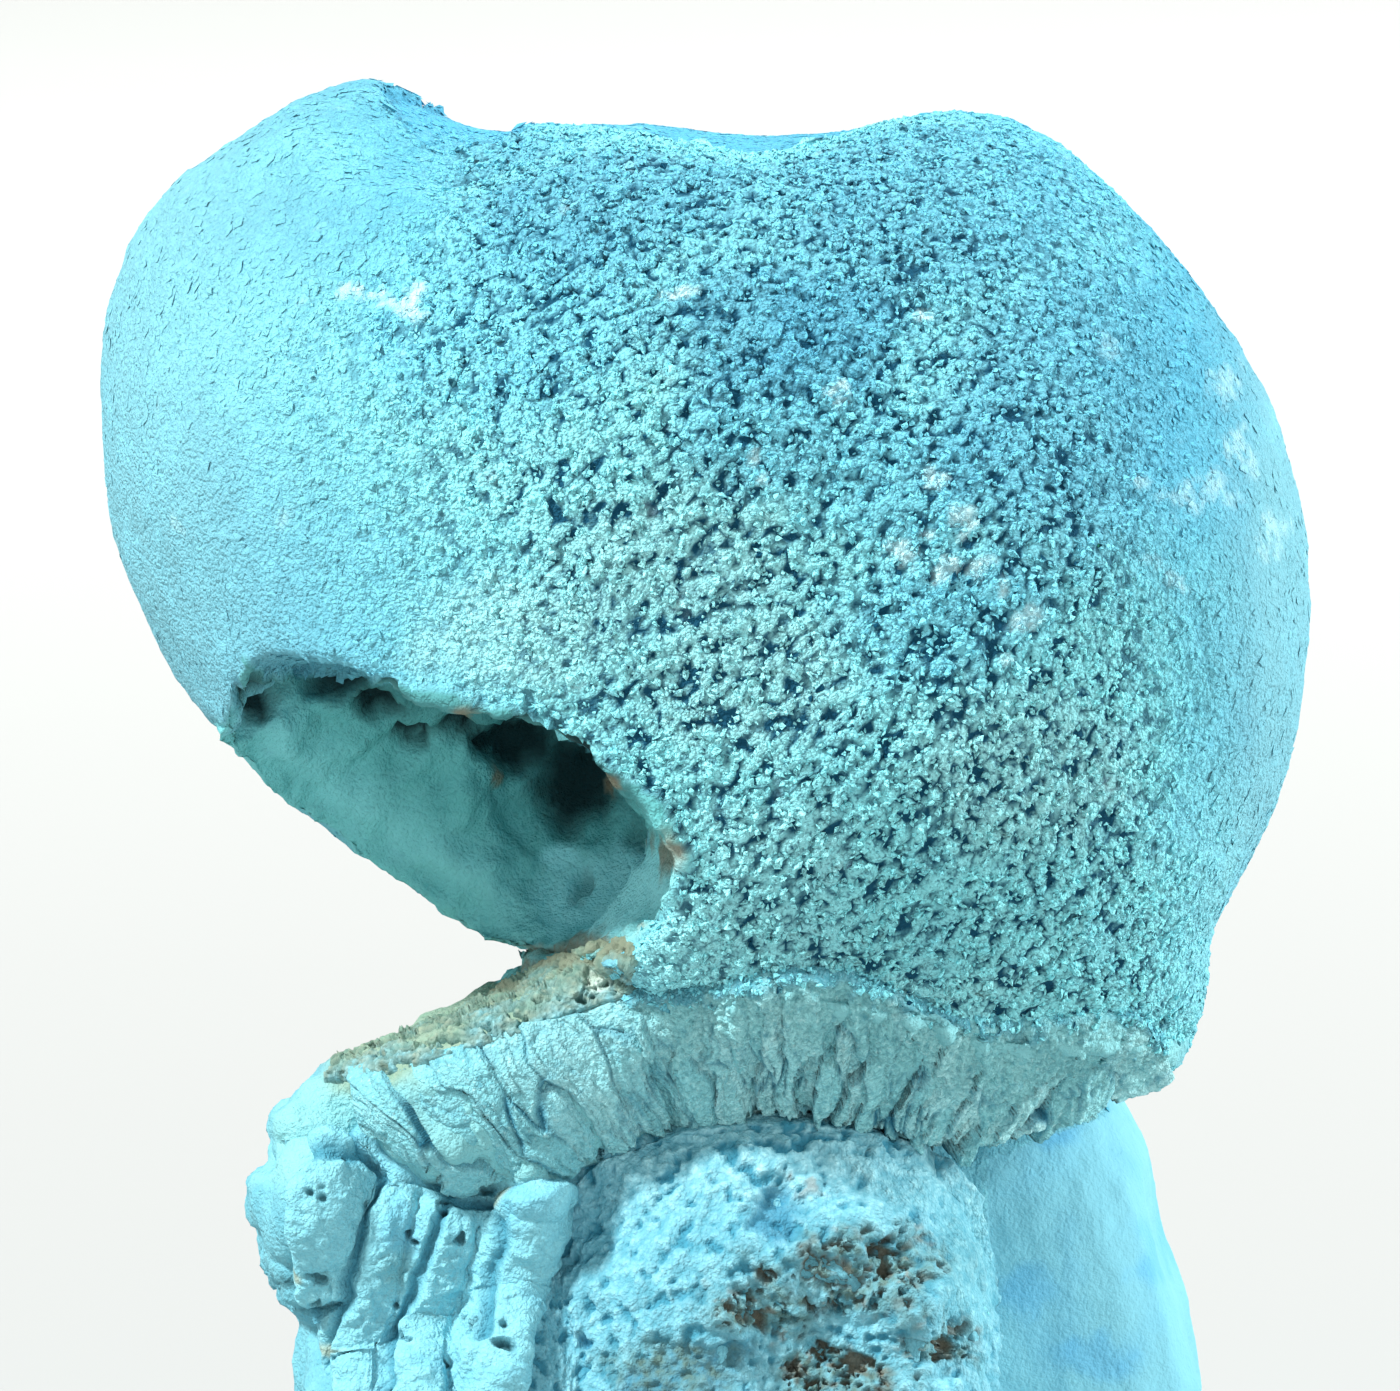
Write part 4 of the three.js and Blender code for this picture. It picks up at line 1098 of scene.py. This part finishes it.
# painted shade in the gaps where the velvet is fine
FINE_GAP_SHADE = (0.03, 0.26, 0.38)
SPECK_BROWN = (0.40, 0.20, 0.09)
MOSS_GREEN = (0.03, 0.25, 0.16)
MOUTH_LIGHT = (0.17, 0.56, 0.58)
ROOF_SHADE = (0.03, 0.14, 0.15)
SAND = (0.30, 0.42, 0.33)
RUST_RED = (0.27, 0.16, 0.09)
PIT_SHADE = (0.012, 0.07, 0.09)
LOBE_DEEP = (0.13, 0.43, 0.62)
FIBRE_CLEAR = (0.35, 0.77, 0.80)
FIBRE_SPECK = (0.05, 0.27, 0.36)
CRUMB_GAP_SHADE = (0.06, 0.30, 0.38)
FOLD_BRIGHT = (0.38, 0.88, 0.98)
FOLD_BLUE = (0.11, 0.42, 0.60)
FOLD_DULL = (0.16, 0.38, 0.41)
CREASE_SHADE = (0.04, 0.24, 0.34)
SUGAR_BLUE = (0.24, 0.60, 0.73)
BUD_EDGE = (0.26, 0.60, 0.66)
BUD_PAINTED_LIGHT = (0.55, 0.92, 0.96)
TUFT_BROWN = (0.40, 0.24, 0.14)
PORE_LIGHT = (0.19, 0.16, 0.11)
MURK = (0.10, 0.19, 0.17)
JAW_BLUE = (0.22, 0.52, 0.58)
JAW_SPECK = (0.08, 0.20, 0.19)
JAW_GAP_SHADE = (0.04, 0.12, 0.11)
DRUSE_BRIGHT = (0.70, 0.80, 0.68)


class Shade:
    """One output of a finish's nodes. Arithmetic on it adds the Math nodes that work it out."""

    def __init__(self, finish, socket):
        self.finish = finish
        self.socket = socket

    def _sum(self, operation, *terms):
        return self.finish.node("ShaderNodeMath", {"operation": operation}, dict(enumerate(terms)))

    def __add__(self, other):
        return self._sum("ADD", self, other)

    def __sub__(self, other):
        return self._sum("SUBTRACT", self, other)

    def __rsub__(self, other):
        return self._sum("SUBTRACT", other, self)

    def __mul__(self, other):
        return self._sum("MULTIPLY", self, other)

    __radd__ = __add__
    __rmul__ = __mul__

    def clamped(self):
        """Itself from 0 to 1, and those where it is past them."""
        return self.finish.node("ShaderNodeClamp", {}, {0: self, 1: 0.0, 2: 1.0})


class Finish:
    """A material and the nodes that make it. A name in square brackets reads a field of the mesh."""

    def __init__(self, name):
        self.material = bpy.data.materials.new(name)
        self.material.use_nodes = True
        self.tree = self.material.node_tree
        self.tree.nodes.clear()
        self.place = self.node("ShaderNodeTexCoord", out="Object")

    def node(self, kind, settings=None, sockets=None, out=0):
        """Adds a node, sets it up, gives its sockets values or links, and hands back one output."""
        made = self.tree.nodes.new(kind)
        for name, value in (settings or {}).items():
            setattr(made, name, value)
        for socket, value in (sockets or {}).items():
            if isinstance(value, Shade):
                self.tree.links.new(value.socket, made.inputs[socket])
            else:
                made.inputs[socket].default_value = value
        return Shade(self, made.outputs[out]) if made.outputs else None

    def __getitem__(self, name):
        return self.node("ShaderNodeAttribute", {"attribute_name": name}, out="Fac")

    def speckle(self, size, detail=2.0, roughness=0.5):
        """Noise of a size in millimetres, from 0 to 1."""
        sockets = {"Vector": self.place, "Scale": 1 / (size * MM), "Detail": detail, "Roughness": roughness}
        return self.node("ShaderNodeTexNoise", {}, sockets)

    def moved(self, operation, first, second):
        """Vector maths on two vectors, or on a vector and a factor."""
        sockets = {0: first, ("Scale" if operation == "SCALE" else 1): second}
        return self.node("ShaderNodeVectorMath", {"operation": operation}, sockets)

    def heads(self, size, seed=0.0):
        """Round heads of a size in millimetres, packed at random: 1 in the middle of each, 0 between."""
        sockets = {"Vector": self.place, "Scale": 0.6 / (size * MM), "Detail": 2.0}
        push = self.node("ShaderNodeTexNoise", {}, sockets, out="Color")
        push = self.moved("SUBTRACT", push, (0.5 - seed,) * 3)
        at = self.moved("ADD", self.place, self.moved("SCALE", push, HEAD_WANDER * 2 * size * MM))
        cells = {"Vector": at, "Scale": 1 / (size * MM)}
        away = self.node("ShaderNodeTexVoronoi", {}, cells, out="Distance")
        return (1.0 - away * HEAD_REACH).clamped()

    def crumbs(self, size):
        """Heads of two sizes together, for skins that are all crumbs."""
        return self.heads(size) * 0.65 + self.heads(size * 0.5, 0.2) * 0.35

    def blend(self, share, first, second):
        """Two colours mixed by a share from 0 to 1."""
        ends = [(*c, 1) if isinstance(c, tuple) else c for c in (first, second)]
        return self.node("ShaderNodeMix", {"data_type": "RGBA"}, {0: share, 6: ends[0], 7: ends[1]}, out=2)

    def done(self, colour, roughness, shine, bump=None, depth=0.0):
        """Ends the finish in one Principled shader, its skin raised by a bump of a depth in millimetres."""
        sockets = {"Base Color": colour, "Roughness": roughness, "Specular IOR Level": shine}
        if bump is not None:
            raised = {"Height": bump, "Strength": 1.0, "Distance": depth * MM}
            sockets["Normal"] = self.node("ShaderNodeBump", {}, raised)
        shader = self.node("ShaderNodeBsdfPrincipled", {}, sockets)
        self.node("ShaderNodeOutputMaterial", {}, {"Surface": shader})
        return self.material


def velvet_colour(f, reach):
    """Light cyan that darkens towards the gaps as painted shade, bluer in the deep patches, greyer in the
    grey ones; the painted shade in the gaps is pale where the velvet is fine."""
    # paler on the left and the lower right edge: partly own colour, partly painted light
    fine = f.blend(f["pale"], FINE_BLUE, FINE_PALE)
    lit = f.blend((f["coarse"] * 1.6 - 0.15).clamped(), fine, VELVET_LIGHT)
    lit = f.blend(f["deep"] * 0.5, lit, DEEP_BLUE)
    lit = f.blend(f["grey"] * 0.55, lit, GREY_TEAL)
    # deeper azure in the azure patches, and painted shade on the ridge
    lit = f.blend(f["azure_and_ridge_shade"] * 0.62, lit, AZURE_AND_RIDGE_SHADE)
    lit = f.blend((f["tone"] * 0.24 * f["coarse"]).clamped(), lit, VELVET_MID)
    soft = f.blend(0.45, fine, FINE_GAP_SHADE)
    gap = f.blend((f["coarse"] * 1.6).clamped(), soft, VELVET_GAP_SHADE)
    # painted light: lighter velvet on the lower middle, which lies in shade
    lit = f.blend(f["painted_light"] * 0.6, lit, VELVET_PAINTED_LIGHT)
    body = f.blend(reach.clamped(), gap, lit)
    return f.blend(f["frost"] * (f.speckle(0.22, 1.0) * 1.6).clamped() * 0.85, body, FROST_PALE)


def velvet_finish():
    """The grains, darker at their feet and down in the gaps: painted shade."""
    f = Finish("velvet")
    crumbs = (f.speckle(0.075, 1.0) * 3.4 - 1.0).clamped()
    rough = (f["coarse"] * 1.3).clamped()
    # painted shade: darker down in the gaps between the clumps, where mass is low; the painted light spots
    # lift it
    high = (f["mass"] * 5.8 - 0.75 + f["painted_light"] * 0.5).clamped() * rough + (1 - rough)
    # painted shade at each grain's foot
    foot = 1 - rough * (1 - (f["tip"] * 2.2 - 0.15).clamped())
    reach = foot * high * (1 - rough * (1 - (crumbs * 3.0 + 0.25).clamped()))
    colour = velvet_colour(f, reach)
    colour = f.blend((f["speck"] * 1.5).clamped(), colour, SPECK_BROWN)
    colour = f.blend((f["moss"] * 1.5).clamped(), colour, MOSS_GREEN)
    return f.done(colour, 0.9, 0.12, crumbs * (rough * 0.7 + 0.3), 0.07)


def body_finish():
    """The stone under the velvet and where it is bare."""
    f = Finish("bare_stone")
    rough = f.speckle(0.5, 3.0, 0.6)
    crumbs = f.crumbs(0.13)
    bare = f.blend((f.speckle(0.7, 3.0) * 2.2 - 0.6).clamped(), FOLD_PALE, FOLD_LIGHT)
    bare = f.blend((crumbs * 0.9 + 0.1).clamped(), f.blend(0.45, bare, FOLD_SHADE), bare)
    inner = f.blend((rough * 1.6 - 0.3).clamped(), MOUTH_TEAL, MOUTH_LIGHT)
    inner = f.blend(f["roof"] * 0.6, inner, ROOF_SHADE)
    # painted light on the lip and the mouth's lower wall
    inner = f.blend(f["glow"] * (1 - f["lip"] * 0.72), inner, MOUTH_PAINTED_LIGHT)
    bare = f.blend(f["mouth"], bare, inner)
    # painted shade in the throat and the roof's pits
    bare = f.blend(f["dark"], bare, THROAT_SHADE)
    bare = f.blend(f["band"] * 0.8, bare, RIM_GREY)
    patchy = f.speckle(0.3, 2.0)
    sand = f.blend((patchy * 2.4 - 0.8).clamped(), OLIVE, SAND)
    bare = f.blend(f["jaw"], bare, sand)
    bare = f.blend(f["rust"] * 0.8, bare, f.blend(patchy, RUST, RUST_RED))
    # painted shade in the stem's pits
    bare = f.blend(f["pits"] * 0.9, bare, PIT_SHADE)
    rough_part = (f["coarse"] * 1.3).clamped()
    # painted shade on the stone under the velvet, in the gaps between the clumps and crumbs
    high = (f["mass"] * 4.0 - 0.7).clamped() * (crumbs * 2.4).clamped() * 0.75
    under = velvet_colour(f, high * rough_part + (crumbs * 0.8 + 0.6).clamped() * (1 - rough_part))
    blotches = (f.speckle(1.6, 3.0) * 3.4 - 1.6).clamped() * 0.7
    smooth = f.blend((blotches * 0.6 + f["azure_and_ridge_shade"] * 0.8).clamped(), LOBE_BLUE, LOBE_DEEP)
    under = f.blend(f["lobe"], under, smooth)
    colour = f.blend(f["velvet"], bare, under)
    plush = f["velvet"] * (1 - f["lobe"])
    skin = (f.speckle(0.2, 3.0, 0.65) + crumbs * 0.5) * (1 - plush) * (1 - f["lobe"] * 0.6) + crumbs * plush
    return f.done(colour, 0.85, 0.2, skin, 0.10)


def fibre_finish():
    """Grey teal splinters, some paler, with painted glints and painted shade in the blue cracks and
    between the crumbs, bluer on the left, and a duller, greener grey of fine crumbs towards the crust."""
    f = Finish("rim_fibres")
    crumbs = f.crumbs(0.10)
    pale = f.blend(f.speckle(0.8, 3.0), FIBRE_PALE, FIBRE_CLEAR)
    pale = f.blend(f["left"] * 0.6, pale, FIBRE_BLUE)
    pale = f.blend((f["tone"] * 2.6 - 1.0).clamped() * (0.75 - f["left"] * 0.5), pale, FIBRE_PALE_AND_GLINT)
    pale = f.blend((1.1 - f["tone"] * 3.0).clamped() * 0.5 * (1 - f["left"] * 0.6), pale, FIBRE_DULL_AND_SHADE)
    pale = f.blend(f["top"] * 0.6, pale, RIM_GREY)
    # painted shade between the crumbs
    grain = (f["crumb"] * 0.6 + crumbs * 1.2 - 0.15).clamped()
    colour = f.blend(grain, f.blend(0.8 - f["left"] * 0.3, pale, FIBRE_DULL_AND_SHADE), pale)
    # painted glints: pale specks standing for highlights
    glints = (f.speckle(0.13, 3.0) * 6.0 - 3.6).clamped()
    colour = f.blend(glints * 0.7, colour, FIBRE_PALE_AND_GLINT)
    specks = (f.speckle(0.24, 3.0) * 5.0 - 2.8).clamped() * 0.6
    colour = f.blend(specks * (1 - f["left"] * 0.1), colour, FIBRE_SPECK)
    # painted shade in the cracks
    colour = f.blend(f["cracks"], colour, FIBRE_CRACK_SHADE)
    # painted shade between the velvet's crumbs on the rim
    colour = f.blend(f["velvet"], colour, f.blend(crumbs, CRUMB_GAP_SHADE, FINE_PALE))
    return f.done(colour, 0.85, 0.2, crumbs, 0.07)


def fold_finish():
    """Smooth pale blue folds with a sugary skin, bluer here and there, grey green in two places, and
    painted shade in the creases, the pores and between the grains.
    """
    f = Finish("folds")
    crumbs = f.crumbs(0.11)
    pale = f.blend((f.speckle(0.7, 5.0) * 2.2 - 0.6).clamped(), FOLD_PALE, FOLD_LIGHT)
    pale = f.blend(0.4, pale, FOLD_BRIGHT)
    pale = f.blend(f["blue"] * 0.4, pale, FOLD_BLUE)
    pale = f.blend(f["grey"] * 0.55, pale, FOLD_DULL)
    grain = (f["rise"] * 0.6 + crumbs * 0.8 - 0.05).clamped()
    colour = f.blend(grain, f.blend(0.55, pale, FOLD_SHADE), pale)
    # painted shade in the creases and the pores
    colour = f.blend((f["crack"] * 0.85).clamped(), colour, CREASE_SHADE)
    colour = f.blend(f["pore"] * 0.85, colour, PIT_SHADE)
    colour = f.blend(f["tan"] * 0.75, colour, TAN)
    return f.done(colour, 0.85, 0.2, crumbs + f.speckle(0.3, 2.0), 0.06)


def bud_finish():
    """Sugary pale blue with deep blue pockets, brown pores, a smooth paler rim, painted shade between
    the heads and painted light along its top, where the rim's shadow falls.
    """
    f = Finish("bud_sugar")
    pale = f.blend(f.speckle(0.7, 4.0), SUGAR_PALE, SUGAR_BLUE)
    pale = f.blend(f["pale"] * 0.7, pale, BUD_EDGE)
    # painted light along the top, where the rim's shadow falls
    pale = f.blend(f["crest"] * 0.6, pale, BUD_PAINTED_LIGHT)
    crumbs = f.crumbs(0.13)
    # painted shade between the sugary heads
    colour = f.blend((f["rise"] * 0.9 * (crumbs + 0.5)).clamped(), SUGAR_GAP_SHADE, pale)
    colour = f.blend(f["blue"] * 0.75, colour, BLUE_POCKET)
    colour = f.blend(f["tan"] * 0.55, colour, TUFT_BROWN)
    brown = f.blend(f.speckle(0.25, 2.0), PORE_BROWN, PORE_LIGHT)
    colour = f.blend(f["murk"] * (f.speckle(0.3, 3.0) * 2.4 - 0.6).clamped() * 0.95, colour, MURK)
    colour = f.blend(f["pore"] * 0.9, colour, brown)
    return f.done(colour, 0.85, 0.25, crumbs, 0.06)


def jaw_finish():
    """Olive and grey green crumbs, bluer at the left end, with painted shade between them and in the
    pits, rust along the crest and a pocket of bright grains."""
    f = Finish("rusty_jaw")
    pale = f.blend(f["tan"], JAW_BLUE, OLIVE)
    pale = f.blend((f.speckle(0.35, 4.0) * 2.4 - 0.9).clamped(), pale, TAN)
    pale = f.blend((f.speckle(0.16, 4.0) * 4.0 - 2.2).clamped() * 0.6, pale, JAW_SPECK)
    # painted shade between the crumbs and in the pits
    colour = f.blend((f["rise"] * 1.3).clamped(), JAW_GAP_SHADE, pale)
    colour = f.blend(f["rust"] * 0.75, colour, RUST)
    colour = f.blend((f["druse"] * f["rise"]).clamped(), colour, DRUSE_BRIGHT)
    return f.done(colour, 0.7, 0.35, f.speckle(0.08, 2.0), 0.06)


def floor_finish():
    """A matt pale floor, a touch mottled, that darkens slowly towards the stone as painted shade."""
    f = Finish("pale_floor")
    away = f.node("ShaderNodeVectorMath", {"operation": "LENGTH"}, {0: f.place}, out="Value")
    far = f.node("ShaderNodeMapRange", {"interpolation_type": "SMOOTHSTEP"}, {0: away, 2: FLOOR_DARKENS_TO})
    # painted shade on the floor near the stone
    shade = f.blend(far, FLOOR_SHADE_NEAR, FLOOR_FAR)
    shade = f.blend(f.speckle(40.0) * 0.02, shade, FLOOR_GREY)
    return f.done(shade, 0.9, 0.5)


# ---------------------------------------------------------------- stage

# the floor's painted shade near the stone, and its colour far away
FLOOR_SHADE_NEAR = (0.352, 0.362, 0.357)
FLOOR_FAR = (0.54, 0.552, 0.536)
FLOOR_GREY = (0.2, 0.2, 0.2)
FLOOR_DARKENS_TO = 0.4  # metres from the stone
FLOOR_RADIUS = 3000.0
FLOOR_RINGS = 6
FLOOR_SPOKES = 64
WORLD_STRENGTH = 0.42
WORLD_COLOUR = (0.97, 1.0, 1.0)
LAMPS = [  # name, place in metres, width, power in watts, colour
    ("key", (-0.47, -0.27, 0.60), 0.11, 10.5, (1.0, 0.99, 0.97)),
    ("fill", (0.60, 0.05, 0.25), 0.30, 5.5, (0.98, 1.0, 1.0)),
    ("front", (0.10, -0.48, 0.10), 0.25, 0.5, (1.0, 1.0, 1.0)),
    ("back", (0.10, 0.60, 0.45), 0.60, 3.0, (1.0, 1.0, 1.0)),
]


def floor():
    """A wide flat disc that the stone stands on."""
    radius = np.linspace(0, 1, FLOOR_RINGS + 1)[1:] ** 2 * FLOOR_RADIUS
    turn = np.arange(FLOOR_SPOKES) * math.tau / FLOOR_SPOKES
    flat_at = np.stack([np.outer(radius, np.cos(turn)), np.outer(radius, np.sin(turn))], -1).reshape(-1, 2)
    p = np.zeros((len(flat_at) + 1, 3))
    p[1:, :2] = flat_at
    i = np.arange(FLOOR_SPOKES)
    j = (i + 1) % FLOOR_SPOKES
    faces = [[0, 1 + a, 1 + b] for a, b in zip(i, j)]
    for ring in range(FLOOR_RINGS - 1):
        inner = ring * FLOOR_SPOKES + 1
        outer = inner + FLOOR_SPOKES
        faces += np.stack([inner + i, outer + i, outer + j, inner + j], -1).tolist()
    mesh = bpy.data.meshes.new("floor")
    mesh.from_pydata((p * MM).tolist(), [], faces)
    mesh.materials.append(floor_finish())
    added("floor", mesh)


def lamps():
    """Soft square lamps aimed at the middle of the stone, and a white surround."""
    aim = Vector(VIEW_AIM * MM)
    for name, place, wide, power, colour in LAMPS:
        data = bpy.data.lights.new(name, "AREA")
        data.size = wide
        data.energy = power
        data.color = colour
        lamp = added(name, data)
        lamp.location = place
        lamp.rotation_euler = (aim - Vector(place)).to_track_quat("-Z", "Y").to_euler()
    world = bpy.data.worlds.new("surround")
    world.use_nodes = True
    background = world.node_tree.nodes["Background"]
    background.inputs["Color"].default_value = (*WORLD_COLOUR, 1)
    background.inputs["Strength"].default_value = WORLD_STRENGTH
    bpy.context.scene.world = world


def camera():
    """The camera on the sight plane's axis, which sees the frame's width there."""
    data = bpy.data.cameras.new("view")
    data.sensor_width = SENSOR_WIDTH
    data.lens = SENSOR_WIDTH * VIEW_DISTANCE / FRAME_WIDTH
    data.clip_start = NEAREST_SEEN
    data.clip_end = FARTHEST_SEEN
    made = added("view", data)
    made.location = Vector((VIEW_AIM + VIEW_BACK * VIEW_DISTANCE) * MM)
    made.rotation_euler = (math.pi / 2 - VIEW_TILT, 0, 0)
    bpy.context.scene.camera = made
    bpy.context.scene.view_settings.view_transform = "Standard"


# ---------------------------------------------------------------- making

camera()
lamps()
floor()
stone = body_finish()
parts = [
    body_part("ball", "DIFFERENCE", BALL_VOXEL, BALL_ROUNDS, stone),
    body_part("stem", "INTERSECT", STEM_VOXEL, STEM_ROUNDS, stone),
]
ground = ground_under(parts)
rim = laid(
    "rim_fibres", ground, (RIM_FOOT, RIM_TOP), RIM_NET, fibre_relief, fibre_finish(),
    tuck=(0.5, 0.2), least=rim_least,
)
laid(
    "jaw_top", ground, (JAW_FOOT, JAW_CREST), JAW_NET, jaw_relief, jaw_finish(),
    tuck=(0.4, 0.3), rounds=(0, 4),
)
laid(
    "folds", ground, (FOLDS_LEFT, FOLDS_RIGHT), FOLDS_NET, fold_relief, fold_finish(),
    tuck=(0.5, 0.3), least=fold_least, inward=2.0, rounds=(0, 4),
)
laid(
    "bud", ground, (BUD_FOOT, BUD_TOP), BUD_NET, bud_relief, bud_finish(),
    tuck=(0.6, 0.3), least=bud_least, inward=2.5,
)
velvet(parts + [rim], velvet_finish())
